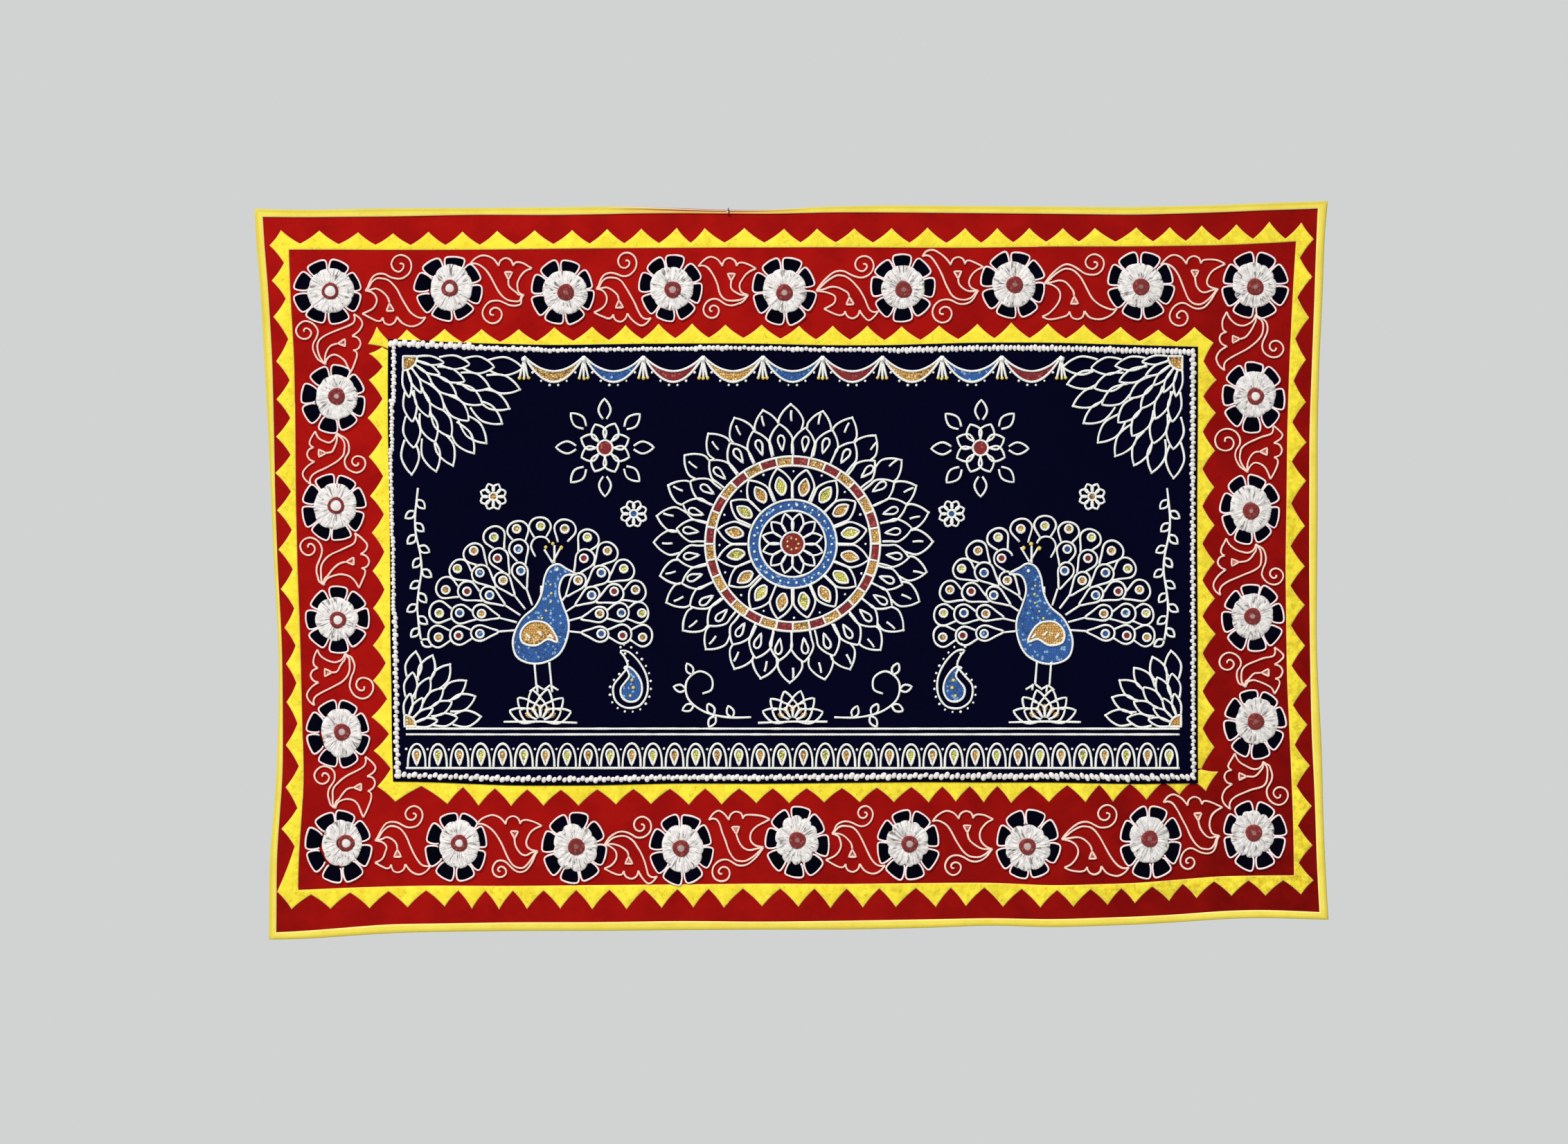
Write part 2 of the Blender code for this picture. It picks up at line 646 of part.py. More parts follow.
def make_rosette(flower, root):
    """The white gathered disc and its button, as one low dome with a lobed rim."""
    bm = bmesh.new()
    profile = [bm.verts.new((ring.radius, -ring.high, 0.0)) for ring in ROSETTE_RINGS]
    edges = [bm.edges.new(pair) for pair in zip(profile, profile[1:])]
    bmesh.ops.spin(bm, geom=profile + edges, axis=(0.0, 1.0, 0.0), cent=(0.0, 0.0, 0.0),
                   angle=2 * math.pi, steps=ROSETTE_COLUMNS, use_merge=True)
    bmesh.ops.remove_doubles(bm, verts=bm.verts[:], dist=1e-3)
    bmesh.ops.holes_fill(bm, edges=[edge for edge in bm.edges if edge.is_boundary], sides=0)
    lobed = ROSETTE_RINGS[1].radius - 1.0
    for vert in bm.verts:
        radius = math.hypot(vert.co.x, vert.co.z)
        column = round(math.atan2(vert.co.z, vert.co.x) / (2 * math.pi / ROSETTE_COLUMNS))
        if radius > lobed and column % 2:
            vert.co.x *= (radius - ROSETTE_LOBE) / radius
            vert.co.z *= (radius - ROSETTE_LOBE) / radius
    turn = Matrix.Rotation(-math.radians(flower.turn), 3, "Y")
    bmesh.ops.rotate(bm, verts=bm.verts[:], cent=(0.0, 0.0, 0.0), matrix=turn)
    bmesh.ops.translate(bm, verts=bm.verts[:], vec=(flower.x, 0.0, flower.z))
    bmesh.ops.triangulate(bm, faces=bm.faces[:])
    on_petals = 2 * SKIN + PIECE_THICK
    hang(bm, on_petals)
    finish_piece("rosette_" + flower.name, bm, WHITE_COTTON, root, (flower.x, flower.z), flower.turn)


def make_nail(root):
    """A small nail, level out of the wall and bent down over the top edge to its round head."""
    edge_z = line_at(SIDES[0].stations, "cloth", NAIL_X)
    front_y = hung_y(NAIL_X, edge_z) - SKIN - BINDING_THICK
    shank_z = edge_z + SKIN + NAIL_RADIUS
    tip_y = front_y - NAIL_HEAD_RADIUS - 2 * SKIN
    path = [(NAIL_BEHIND, shank_z, 1.0)]
    for step in range(NAIL_BEND_STEPS + 1):
        angle = math.pi / 2 * step / NAIL_BEND_STEPS
        path.append((tip_y + NAIL_BEND * (1 - math.sin(angle)),
                     shank_z - NAIL_BEND * (1 - math.cos(angle)), 1.0))
    swell = NAIL_HEAD_RADIUS / NAIL_RADIUS
    for drop, size in ((NAIL_DROP, 1.0), (0.3, swell), (NAIL_HEAD_LONG, swell), (0.5, 0.6 * swell)):
        path.append((tip_y, path[-1][1] - drop, size))
    curve = bpy.data.curves.new("wall_nail", "CURVE")
    curve.dimensions = "3D"
    curve.bevel_depth = NAIL_RADIUS * MM
    curve.bevel_resolution = 2
    curve.use_fill_caps = True
    spline = curve.splines.new("POLY")
    spline.points.add(len(path) - 1)
    for point, (y, z, size) in zip(spline.points, path):
        point.co = (0.0, y * MM, (z - shank_z) * MM, 1.0)
        point.radius = size
    nail = bpy.data.objects.new("wall_nail", curve)
    bpy.context.scene.collection.objects.link(nail)
    nail.parent = root
    nail.location = (NAIL_X * MM, 0.0, shank_z * MM)
    curve.materials.append(make_material(NAIL_STEEL))


def main():
    for old in list(bpy.data.objects):
        bpy.data.objects.remove(old, do_unlink=True)
    root = bpy.data.objects.new("hanging_point", None)
    bpy.context.scene.collection.objects.link(root)
    make_ground(root)
    make_binding(root)
    make_outer_sawtooth(root)
    make_inner_sawtooth(root)
    make_centre(root)
    make_trim(root)
    wander = random.Random(5)
    for flower in FLOWERS:
        make_petals(flower, wander, root)
        make_rosette(flower, root)
    make_nail(root)


main()
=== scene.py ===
import math
import random
from collections import namedtuple

import bmesh
import bpy
import numpy as np
from mathutils import Matrix, Vector
from mathutils.bvhtree import BVHTree


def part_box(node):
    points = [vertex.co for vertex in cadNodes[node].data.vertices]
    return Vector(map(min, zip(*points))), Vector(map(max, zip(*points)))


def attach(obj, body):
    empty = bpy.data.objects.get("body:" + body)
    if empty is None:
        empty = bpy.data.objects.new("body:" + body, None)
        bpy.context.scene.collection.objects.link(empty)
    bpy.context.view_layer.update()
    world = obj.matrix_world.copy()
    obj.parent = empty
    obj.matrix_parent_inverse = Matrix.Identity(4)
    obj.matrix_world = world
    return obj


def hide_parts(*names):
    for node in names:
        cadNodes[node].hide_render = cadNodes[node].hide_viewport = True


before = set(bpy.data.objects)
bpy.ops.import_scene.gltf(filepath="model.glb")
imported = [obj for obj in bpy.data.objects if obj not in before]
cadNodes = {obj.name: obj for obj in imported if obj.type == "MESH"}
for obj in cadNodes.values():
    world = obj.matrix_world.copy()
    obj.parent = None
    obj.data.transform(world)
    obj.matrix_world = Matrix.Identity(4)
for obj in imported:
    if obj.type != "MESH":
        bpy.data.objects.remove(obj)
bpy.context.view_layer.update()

# A pipli applique panel hung flat by its top edge. Lengths are in millimetres until a mesh is
# finished, x is to the right, z is up and the panel faces -y. Every outline, flower place and fold
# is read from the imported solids, so each finer piece lies where its solid is.
mm = 0.001
print("frame:", len(cadNodes), "solids")


# Colours and nodes

def hexColour(code):  # sRGB hex to linear, with alpha
    parts = [int(code[i:i + 2], 16) / 255 for i in (1, 3, 5)]
    return tuple(p / 12.92 if p <= 0.04045 else ((p + 0.055) / 1.055) ** 2.4 for p in parts) + (1.0,)


def addNode(tree, kind, inputs=None, **settings):  # a node with its settings, values and links
    node = tree.nodes.new(kind)
    for key, value in settings.items():
        setattr(node, key, value)
    for key, value in (inputs or {}).items():
        if isinstance(value, bpy.types.NodeSocket):
            tree.links.new(value, node.inputs[key])
        else:
            node.inputs[key].default_value = value
    return node


def newMaterial(name, shaderValues):
    material = bpy.data.materials.new(name)
    material.use_nodes = True
    tree = material.node_tree
    shader = tree.nodes["Principled BSDF"]
    for key, value in shaderValues.items():
        shader.inputs[key].default_value = value
    return material, tree, shader


def noiseScale(sizeMm):  # the Scale of a noise whose blotches are about this wide
    return 1 / (sizeMm * mm)


def bandScale(pitchMm):  # the Scale of wave bands this far apart: a wave turns 20 radians a unit
    return 2 * math.pi / (20 * pitchMm * mm)


# Painted shade, darker to the right and more so low down there, and low down in general and
# more so along the left edge. Each share is a part of the look's strength of painted shade.
paintedShadeSettings = {"halfWideMm": 750, "tallMm": 1020, "rightPower": 2.6, "lowPower": 2.0,
                "rightShare": 0.3, "lowerRightShare": 0.19, "lowShare": 0.15,
                "lowLeftShare": 0.33, "leftFromMm": -625, "leftToMm": -735,
                "blotchFrom": 0.42, "blotchTo": 0.62}
weaveSettings = {"dyeFrom": 0.36, "dyeTo": 0.66, "creaseWide": 0.035, "brokenFrom": 0.5,
                 "brokenTo": 0.62, "crumpleDeepMm": 1.2, "threadStrength": 0.35,
                 "threadDeepMm": 0.12, "threadWander": 0.6, "hemFrom": 0.15, "hemTo": 0.75}


# Woven cotton: matt, dyed in the piece, with uneven dye, soft crumples and its plain weave. The
# real threads are 0.35 mm apart and are drawn threadMm apart, so that they show.
def wovenCotton(name, look):
    s, shading = weaveSettings, paintedShadeSettings
    material, tree, shader = newMaterial(name, {
        "Roughness": look["roughness"], "Specular IOR Level": look["shine"],
        "Sheen Weight": look["sheen"], "Sheen Roughness": 0.6})
    place = addNode(tree, "ShaderNodeTexCoord").outputs["Object"]
    patches = addNode(tree, "ShaderNodeTexNoise", {
        "Vector": place, "Scale": noiseScale(look["patchMm"]), "Detail": 4.0, "Roughness": 0.62})
    dye = addNode(tree, "ShaderNodeMapRange", {
        "Value": patches.outputs["Fac"], "From Min": s["dyeFrom"], "From Max": s["dyeTo"],
        "To Max": look["uneven"]}, interpolation_type="SMOOTHSTEP")
    colour = addNode(tree, "ShaderNodeMix", {
        0: dye.outputs["Result"], 6: hexColour(look["colour"]), 7: hexColour(look["deep"])},
        data_type="RGBA").outputs[2]

    # painted shade along thin broken crease lines, where a ridged noise comes near its middle
    # (a lighter painted sheen on the navy and petal cloth)
    wrinkle = addNode(tree, "ShaderNodeTexNoise", {
        "Vector": place, "Scale": noiseScale(look["creaseMm"]), "Detail": 5.0, "Roughness": 0.55,
        "Distortion": 1.4})
    apart = addNode(tree, "ShaderNodeMath", {0: wrinkle.outputs["Fac"], 1: 0.5},
                    operation="SUBTRACT")
    apart = addNode(tree, "ShaderNodeMath", {0: apart.outputs["Value"]}, operation="ABSOLUTE")
    line = addNode(tree, "ShaderNodeMapRange", {
        "Value": apart.outputs["Value"], "From Max": s["creaseWide"], "To Min": 1.0,
        "To Max": 0.0}, interpolation_type="SMOOTHSTEP")
    broken = addNode(tree, "ShaderNodeTexNoise", {
        "Vector": place, "Scale": noiseScale(look["creaseMm"] * 0.7), "Detail": 2.0})
    broken = addNode(tree, "ShaderNodeMapRange", {
        "Value": broken.outputs["Fac"], "From Min": s["brokenFrom"],
        "From Max": s["brokenTo"]})
    crease = addNode(tree, "ShaderNodeMath", {
        0: line.outputs["Result"], 1: broken.outputs["Result"]}, operation="MULTIPLY")
    shown = addNode(tree, "ShaderNodeMath", {0: crease.outputs["Value"], 1: look["creaseShade"]},
                    operation="MULTIPLY")
    colour = addNode(tree, "ShaderNodeMix", {
        0: shown.outputs["Value"], 6: colour, 7: hexColour(look["paintedCreaseColour"])},
        data_type="RGBA").outputs[2]

    # painted shade: darker to the right, low down and along the lower left, in random blotches
    if look.get("paintedShade"):
        apart = addNode(tree, "ShaderNodeSeparateXYZ", {0: place})
        right = addNode(tree, "ShaderNodeMapRange", {
            "Value": apart.outputs["X"], "From Min": -shading["halfWideMm"] * mm,
            "From Max": shading["halfWideMm"] * mm})
        right = addNode(tree, "ShaderNodeMath", {
            0: right.outputs["Result"], 1: shading["rightPower"]}, operation="POWER")
        low = addNode(tree, "ShaderNodeMapRange", {
            "Value": apart.outputs["Z"], "From Min": 0.0, "From Max": -shading["tallMm"] * mm})
        both = addNode(tree, "ShaderNodeMath", {
            0: low.outputs["Result"], 1: shading["lowPower"]}, operation="POWER")
        both = addNode(tree, "ShaderNodeMath", {
            0: both.outputs[0], 1: shading["lowerRightShare"], 2: shading["rightShare"]},
            operation="MULTIPLY_ADD")
        both = addNode(tree, "ShaderNodeMath", {0: both.outputs[0], 1: right.outputs[0]},
                       operation="MULTIPLY")
        leftEdge = addNode(tree, "ShaderNodeMapRange", {
            "Value": apart.outputs["X"], "From Min": shading["leftFromMm"] * mm,
            "From Max": shading["leftToMm"] * mm, "To Min": shading["lowShare"],
            "To Max": shading["lowLeftShare"]}, interpolation_type="SMOOTHSTEP")
        both = addNode(tree, "ShaderNodeMath", {
            0: low.outputs["Result"], 1: leftEdge.outputs["Result"], 2: both.outputs[0]},
            operation="MULTIPLY_ADD")
        blotches = addNode(tree, "ShaderNodeTexNoise", {
            "Vector": place, "Scale": noiseScale(look["blotchMm"]), "Detail": 3.0,
            "Roughness": 0.6})
        blotches = addNode(tree, "ShaderNodeMapRange", {
            "Value": blotches.outputs["Fac"], "From Min": shading["blotchFrom"],
            "From Max": shading["blotchTo"],
            "To Min": look["paintedShade"] * (1 - look["blotchy"]),
            "To Max": look["paintedShade"] * (1 + look["blotchy"])})
        paintedShade = addNode(tree, "ShaderNodeMath", {0: both.outputs[0], 1: blotches.outputs["Result"]},
                       operation="MULTIPLY")
        colour = addNode(tree, "ShaderNodeMix", {
            0: paintedShade.outputs[0], 6: colour, 7: hexColour(look["paintedShadeColour"])},
            data_type="RGBA").outputs[2]

    # the turned edge: its stitches and a painted highlight, on pieces that have a hem attribute
    if look.get("hem"):
        hem = addNode(tree, "ShaderNodeAttribute", attribute_name="hem")
        hemHighlight = addNode(tree, "ShaderNodeMapRange", {
            "Value": hem.outputs["Fac"], "From Min": s["hemFrom"], "From Max": s["hemTo"],
            "To Max": look["hemHighlight"]}, interpolation_type="SMOOTHSTEP")
        colour = addNode(tree, "ShaderNodeMix", {
            0: hemHighlight.outputs["Result"], 6: colour, 7: hexColour(look["hem"])},
            data_type="RGBA").outputs[2]
    tree.links.new(colour, shader.inputs["Base Color"])

    warp, weft = [addNode(tree, "ShaderNodeTexWave", {
        "Vector": place, "Scale": bandScale(look["threadMm"]), "Distortion": s["threadWander"],
        "Detail": 1.0, "Detail Scale": 0.4}, wave_type="BANDS", bands_direction=way)
        for way in ("X", "Z")]
    weave = addNode(tree, "ShaderNodeMath", {0: warp.outputs["Fac"], 1: weft.outputs["Fac"]},
                    operation="MAXIMUM")
    crumple = addNode(tree, "ShaderNodeBump", {
        "Height": wrinkle.outputs["Fac"], "Strength": look["crumple"],
        "Distance": s["crumpleDeepMm"] * mm})
    cloth = addNode(tree, "ShaderNodeBump", {
        "Height": weave.outputs["Value"], "Strength": s["threadStrength"],
        "Distance": s["threadDeepMm"] * mm, "Normal": crumple.outputs["Normal"]})
    tree.links.new(cloth.outputs["Normal"], shader.inputs["Normal"])
    return material


# Couched cord: soft two-ply cotton, laid on the cloth and caught down with small stitches. Its UV
# map runs along the cord in mm and once round it.
def couchedCord(name, look):
    material, tree, shader = newMaterial(name, {
        "Roughness": 0.85, "Specular IOR Level": 0.2, "Sheen Weight": 0.2})
    place = addNode(tree, "ShaderNodeTexCoord")
    run = addNode(tree, "ShaderNodeSeparateXYZ", {0: place.outputs["UV"]})
    along = addNode(tree, "ShaderNodeMath", {0: run.outputs["X"], 1: 2 * math.pi / look["twistMm"]},
                    operation="MULTIPLY")
    around = addNode(tree, "ShaderNodeMath", {0: run.outputs["Y"], 1: 4 * math.pi},
                     operation="MULTIPLY")
    turn = addNode(tree, "ShaderNodeMath", {0: along.outputs[0], 1: around.outputs[0]},
                   operation="ADD")
    ply = addNode(tree, "ShaderNodeMath", {0: turn.outputs[0]}, operation="SINE")
    fibre = addNode(tree, "ShaderNodeTexNoise", {
        "Vector": place.outputs["Object"], "Scale": noiseScale(2.2), "Detail": 3.0})
    soil = addNode(tree, "ShaderNodeTexNoise", {
        "Vector": place.outputs["Object"], "Scale": noiseScale(9.0), "Detail": 2.0})
    # painted shade in the grooves between the plies
    groove = addNode(tree, "ShaderNodeMapRange", {
        "Value": ply.outputs[0], "From Min": -1.0, "From Max": -0.2, "To Min": look["grooveShade"],
        "To Max": 0.0}, interpolation_type="SMOOTHSTEP")
    uneven = addNode(tree, "ShaderNodeMapRange", {
        "Value": soil.outputs["Fac"], "From Min": 0.5, "From Max": 0.75,
        "To Max": look["soilShade"]})
    darker = addNode(tree, "ShaderNodeMath", {0: groove.outputs["Result"],
                                              1: uneven.outputs["Result"]}, operation="MAXIMUM")
    colour = addNode(tree, "ShaderNodeMix", {
        0: darker.outputs[0], 6: hexColour(look["colour"]), 7: hexColour(look["deep"])},
        data_type="RGBA")
    tree.links.new(colour.outputs[2], shader.inputs["Base Color"])
    plies = addNode(tree, "ShaderNodeBump", {
        "Height": ply.outputs[0], "Strength": 0.6, "Distance": 0.25 * mm})
    fuzz = addNode(tree, "ShaderNodeBump", {
        "Height": fibre.outputs["Fac"], "Strength": 0.4, "Distance": 0.3 * mm,
        "Normal": plies.outputs["Normal"]})
    tree.links.new(fuzz.outputs["Normal"], shader.inputs["Normal"])
    return material


# Close chain stitch in dyed thread: rows of small raised loops with gaps that let the ground or a
# second thread show between them. The gaps are darkened with painted shade.
def chainStitch(name, look):
    material, tree, shader = newMaterial(name, {
        "Roughness": 0.7, "Specular IOR Level": 0.25, "Sheen Weight": 0.15})
    place = addNode(tree, "ShaderNodeTexCoord").outputs["Object"]
    loops = addNode(tree, "ShaderNodeTexVoronoi", {
        "Vector": place, "Scale": noiseScale(look["stitchMm"]), "Randomness": 0.7},
        feature="DISTANCE_TO_EDGE")
    cells = addNode(tree, "ShaderNodeTexVoronoi", {
        "Vector": place, "Scale": noiseScale(look["stitchMm"]), "Randomness": 0.7})
    # painted shade in the gaps between the loops
    between = addNode(tree, "ShaderNodeMapRange", {
        "Value": loops.outputs["Distance"], "From Min": 0.03, "From Max": 0.16,
        "To Min": look["gapShade"], "To Max": 0.0}, interpolation_type="SMOOTHSTEP")
    pick = addNode(tree, "ShaderNodeSeparateXYZ", {0: cells.outputs["Color"]})
    second = addNode(tree, "ShaderNodeMath", {0: pick.outputs["X"], 1: look["secondShare"]},
                     operation="LESS_THAN")
    shade = addNode(tree, "ShaderNodeMath", {0: pick.outputs["Y"], 1: 0.35},
                    operation="MULTIPLY")
    thread = addNode(tree, "ShaderNodeMix", {
        0: shade.outputs[0], 6: hexColour(look["colour"]), 7: hexColour(look["deep"])},
        data_type="RGBA").outputs[2]
    thread = addNode(tree, "ShaderNodeMix", {
        0: second.outputs[0], 6: thread, 7: hexColour(look["second"])}, data_type="RGBA").outputs[2]
    thread = addNode(tree, "ShaderNodeMix", {
        0: between.outputs["Result"], 6: thread, 7: hexColour(look["gap"])},
        data_type="RGBA").outputs[2]
    tree.links.new(thread, shader.inputs["Base Color"])
    raised = addNode(tree, "ShaderNodeBump", {
        "Height": loops.outputs["Distance"], "Strength": 0.7, "Distance": 0.6 * mm})
    tree.links.new(raised.outputs["Normal"], shader.inputs["Normal"])
    return material


cottonLooks = {
    "red": {"colour": "#A9110C", "deep": "#940B0A", "patchMm": 70, "uneven": 0.75,
            "creaseMm": 26, "creaseShade": 0.25, "paintedCreaseColour": "#780808", "crumple": 0.35,
            "threadMm": 1.1, "roughness": 0.9, "shine": 0.05, "sheen": 0.0,
            "paintedShade": 1.0, "paintedShadeColour": "#100000", "blotchMm": 34, "blotchy": 0.12},
    "navy": {"colour": "#04041D", "deep": "#030317", "patchMm": 110, "uneven": 0.5,
             "creaseMm": 34, "creaseShade": 0.1, "paintedCreaseColour": "#0C0C24", "crumple": 0.3,
             "threadMm": 1.1, "roughness": 0.9, "shine": 0.02, "sheen": 0.0},
    "petal": {"colour": "#030312", "deep": "#010106", "patchMm": 24, "uneven": 0.9,
              "creaseMm": 14, "creaseShade": 0.1, "paintedCreaseColour": "#101022", "crumple": 0.4,
              "threadMm": 1.1, "roughness": 0.9, "shine": 0.03, "sheen": 0.0},
    "yellow": {"colour": "#FCE93E", "deep": "#F3DA30", "patchMm": 22, "uneven": 0.9,
               "creaseMm": 11, "creaseShade": 0.7, "paintedCreaseColour": "#C0A518", "crumple": 0.6,
               "threadMm": 1.1, "roughness": 0.85, "shine": 0.15, "sheen": 0.05,
               "hem": "#FFD890", "hemHighlight": 0.55, "paintedShade": 0.36, "paintedShadeColour": "#6A5200",
               "blotchMm": 9, "blotchy": 0.9},
    "binding": {"colour": "#F0DF5C", "deep": "#E6CE48", "patchMm": 60, "uneven": 0.7,
                "creaseMm": 22, "creaseShade": 0.2, "paintedCreaseColour": "#CDB432", "crumple": 0.4,
                "threadMm": 1.1, "roughness": 0.85, "shine": 0.15, "sheen": 0.05,
                "hem": "#FFE9A0", "hemHighlight": 0.7},
    "white": {"colour": "#F5F0EC", "deep": "#DFDAD8", "patchMm": 7, "uneven": 0.9,
              "creaseMm": 6, "creaseShade": 0.4, "paintedCreaseColour": "#A29C9A", "crumple": 0.8,
              "threadMm": 1.1, "roughness": 0.9, "shine": 0.15, "sheen": 0.1,
              "paintedShade": 0.28, "paintedShadeColour": "#4A4640", "blotchMm": 7, "blotchy": 0.4},
}
cotton = {key: wovenCotton(key + "Cotton", look) for key, look in cottonLooks.items()}

cordLooks = {
    "cream": {"colour": "#FBDDCD", "deep": "#E2A898", "twistMm": 4.2, "grooveShade": 0.35,
              "soilShade": 0.35},
    "petal": {"colour": "#FFECEC", "deep": "#DCB8B2", "twistMm": 4.2, "grooveShade": 0.25,
              "soilShade": 0.35},
    "white": {"colour": "#F6F6F0", "deep": "#BEC0BA", "twistMm": 4.2, "grooveShade": 0.35,
              "soilShade": 0.3},
    "gold": {"colour": "#EBD060", "deep": "#B08A30", "twistMm": 3.0, "grooveShade": 0.35,
             "soilShade": 0.3},
}
cord = {key: couchedCord(key + "Cord", look) for key, look in cordLooks.items()}

stitchLooks = {
    "blue": {"colour": "#2F62A8", "deep": "#1E4684", "second": "#86B0D8", "secondShare": 0.14,
             "gap": "#142A54", "gapShade": 0.7, "stitchMm": 3.4},
    "gold": {"colour": "#DDA95A", "deep": "#B8803A", "second": "#F2CF8A", "secondShare": 0.2,
             "gap": "#3A2410", "gapShade": 0.85, "stitchMm": 3.4},
    "green": {"colour": "#E2DC6A", "deep": "#B9B548", "second": "#F4F0A8", "secondShare": 0.2,
              "gap": "#2A2A10", "gapShade": 0.8, "stitchMm": 3.2},
    "brick": {"colour": "#8E2428", "deep": "#701A20", "second": "#B04A48", "secondShare": 0.12,
              "gap": "#3A0C10", "gapShade": 0.6, "stitchMm": 3.2},
    "button": {"colour": "#862C2A", "deep": "#661A1C", "second": "#A44C46", "secondShare": 0.12,
               "gap": "#481012", "gapShade": 0.6, "stitchMm": 2.6},
    "bud": {"colour": "#E8A898", "deep": "#C87868", "second": "#B03028", "secondShare": 0.4,
            "gap": "#8A1612", "gapShade": 0.9, "stitchMm": 2.4},
}
stitch = {key: chainStitch(key + "Stitch", look) for key, look in stitchLooks.items()}
print("materials made")


# The hung surface: the front of the ground cloth, read on a grid, with its facets smoothed, plus
# small creases that every layer shares

hangSettings = {"cellMm": 10.0, "smoothing": 5, "spanX": (-790.0, 790.0), "spanZ": (-1060.0, 50.0)}

# Small soft creases: the middle, half length, direction in degrees from +x, half width, and how
# far the cloth stands out there. Most run fanwise down from the corners, as the weight pulls.
smallCreases = [
    (-430, -360, 150, 58, 9, 0.9), (-395, -420, 140, 55, 8, 0.7), (-340, -330, 110, 52, 9, -0.7),
    (430, -350, 160, 122, 9, 0.9), (395, -430, 150, 124, 8, -0.7), (480, -470, 120, 118, 8, 0.8),
    (300, -300, 120, 128, 9, 0.7), (120, -640, 130, 60, 10, 0.6), (-150, -690, 140, 118, 10, 0.6),
    (-20, -300, 120, 84, 11, 0.5), (210, -560, 150, 112, 10, 0.6), (-260, -590, 140, 66, 10, 0.7),
    (-690, -480, 160, 86, 9, 1.0), (690, -520, 170, 95, 9, 1.0), (-560, -60, 90, 24, 8, 0.8),
    (-250, -40, 120, 12, 8, 0.7), (80, -38, 130, 170, 8, 0.7), (420, -44, 120, 14, 8, 0.8),
    (660, -60, 80, 145, 8, 0.9), (-480, -975, 130, 172, 9, 0.9), (-120, -985, 140, 8, 9, 0.8),
    (270, -980, 150, 174, 9, 0.9), (600, -960, 90, 12, 8, 0.8), (-690, -200, 110, 80, 9, 0.8),
    (700, -220, 110, 98, 9, 0.8), (-660, -850, 90, 70, 9, 0.8), (690, -860, 90, 104, 9, 0.8),
    (-560, -640, 80, 60, 8, 0.6), (590, -660, 80, 118, 8, 0.6), (0, -150, 100, 4, 7, 0.5),
    (-400, -860, 100, 10, 8, 0.6), (380, -850, 110, 170, 8, 0.6), (-70, -500, 170, 72, 12, 0.5),
]


def readSurface():
    ground = cadNodes["ground_cloth"].data
    tree = BVHTree.FromPolygons([v.co for v in ground.vertices],
                                [tuple(p.vertices) for p in ground.polygons])
    cell = hangSettings["cellMm"]
    xs = np.arange(hangSettings["spanX"][0], hangSettings["spanX"][1] + 1, cell)
    zs = np.arange(hangSettings["spanZ"][0], hangSettings["spanZ"][1] + 1, cell)
    depth = np.zeros((len(zs), len(xs)))
    for row, z in enumerate(zs):
        for column, x in enumerate(xs):
            hit = tree.ray_cast(Vector((x * mm, -0.1, z * mm)), Vector((0, 1, 0)))[0]
            if hit is None:  # beyond the edge: as deep as the nearest point of it
                hit = tree.find_nearest(Vector((x * mm, -0.03, z * mm)))[0]
            depth[row, column] = hit.y / mm
    for _ in range(hangSettings["smoothing"]):
        wide = np.pad(depth, 1, mode="edge")
        depth = (wide[:-2, 1:-1] + wide[2:, 1:-1] + wide[1:-1, :-2] + wide[1:-1, 2:]
                 + 4 * wide[1:-1, 1:-1]) / 8
    return xs, zs, depth


surfaceX, surfaceZ, surfaceDepth = readSurface()


def hungY(x, z):  # the y of the ground cloth's front at arrays x, z
    column = np.clip((x - surfaceX[0]) / hangSettings["cellMm"], 0, len(surfaceX) - 1.001)
    row = np.clip((z - surfaceZ[0]) / hangSettings["cellMm"], 0, len(surfaceZ) - 1.001)
    c, r = column.astype(int), row.astype(int)
    s, t = column - c, row - r
    y = (surfaceDepth[r, c] * (1 - s) * (1 - t) + surfaceDepth[r, c + 1] * s * (1 - t)
         + surfaceDepth[r + 1, c] * (1 - s) * t + surfaceDepth[r + 1, c + 1] * s * t)
    for midX, midZ, reach, turn, width, high in smallCreases:
        a = math.radians(turn)
        run = ((x - midX) * math.cos(a) + (z - midZ) * math.sin(a)) / reach
        off = ((z - midZ) * math.cos(a) - (x - midX) * math.sin(a)) / width
        y = y - high * np.exp(-off ** 2) * np.clip(1 - run ** 2, 0, 1) ** 1.5
    return y


# Outlines read from the solids

def frontLoops(nodeName, leastHigh=-2.0):  # closed outlines of a solid's front, (x, z) in mm
    bm = bmesh.new()
    bm.from_mesh(cadNodes[nodeName].data)
    bmesh.ops.remove_doubles(bm, verts=bm.verts[:], dist=0.02 * mm)
    bm.normal_update()
    others = []
    for face in bm.faces:
        middle = face.calc_center_median() / mm
        high = float(hungY(np.array([middle.x]), np.array([middle.z]))[0]) - middle.y
        if face.normal.y > -0.6 or high < leastHigh:
            others.append(face)
    bmesh.ops.delete(bm, geom=others, context="FACES")
    rims = {edge for edge in bm.edges if len(edge.link_faces) == 1}
    loops = []
    while rims:
        edge = rims.pop()
        first, vert = edge.verts
        loop = [first.co, vert.co]
        while True:
            step = next((e for e in vert.link_edges if e in rims), None)
            if step is None:
                break
            rims.discard(step)
            vert = step.other_vert(vert)
            loop.append(vert.co)
        loops.append(np.array([(co.x / mm, co.z / mm) for co in loop[:-1]]))
    bm.free()
    loops.sort(key=lambda loop: -abs(loopArea(loop)))
    return [loop if loopArea(loop) > 0 else loop[::-1] for loop in loops]


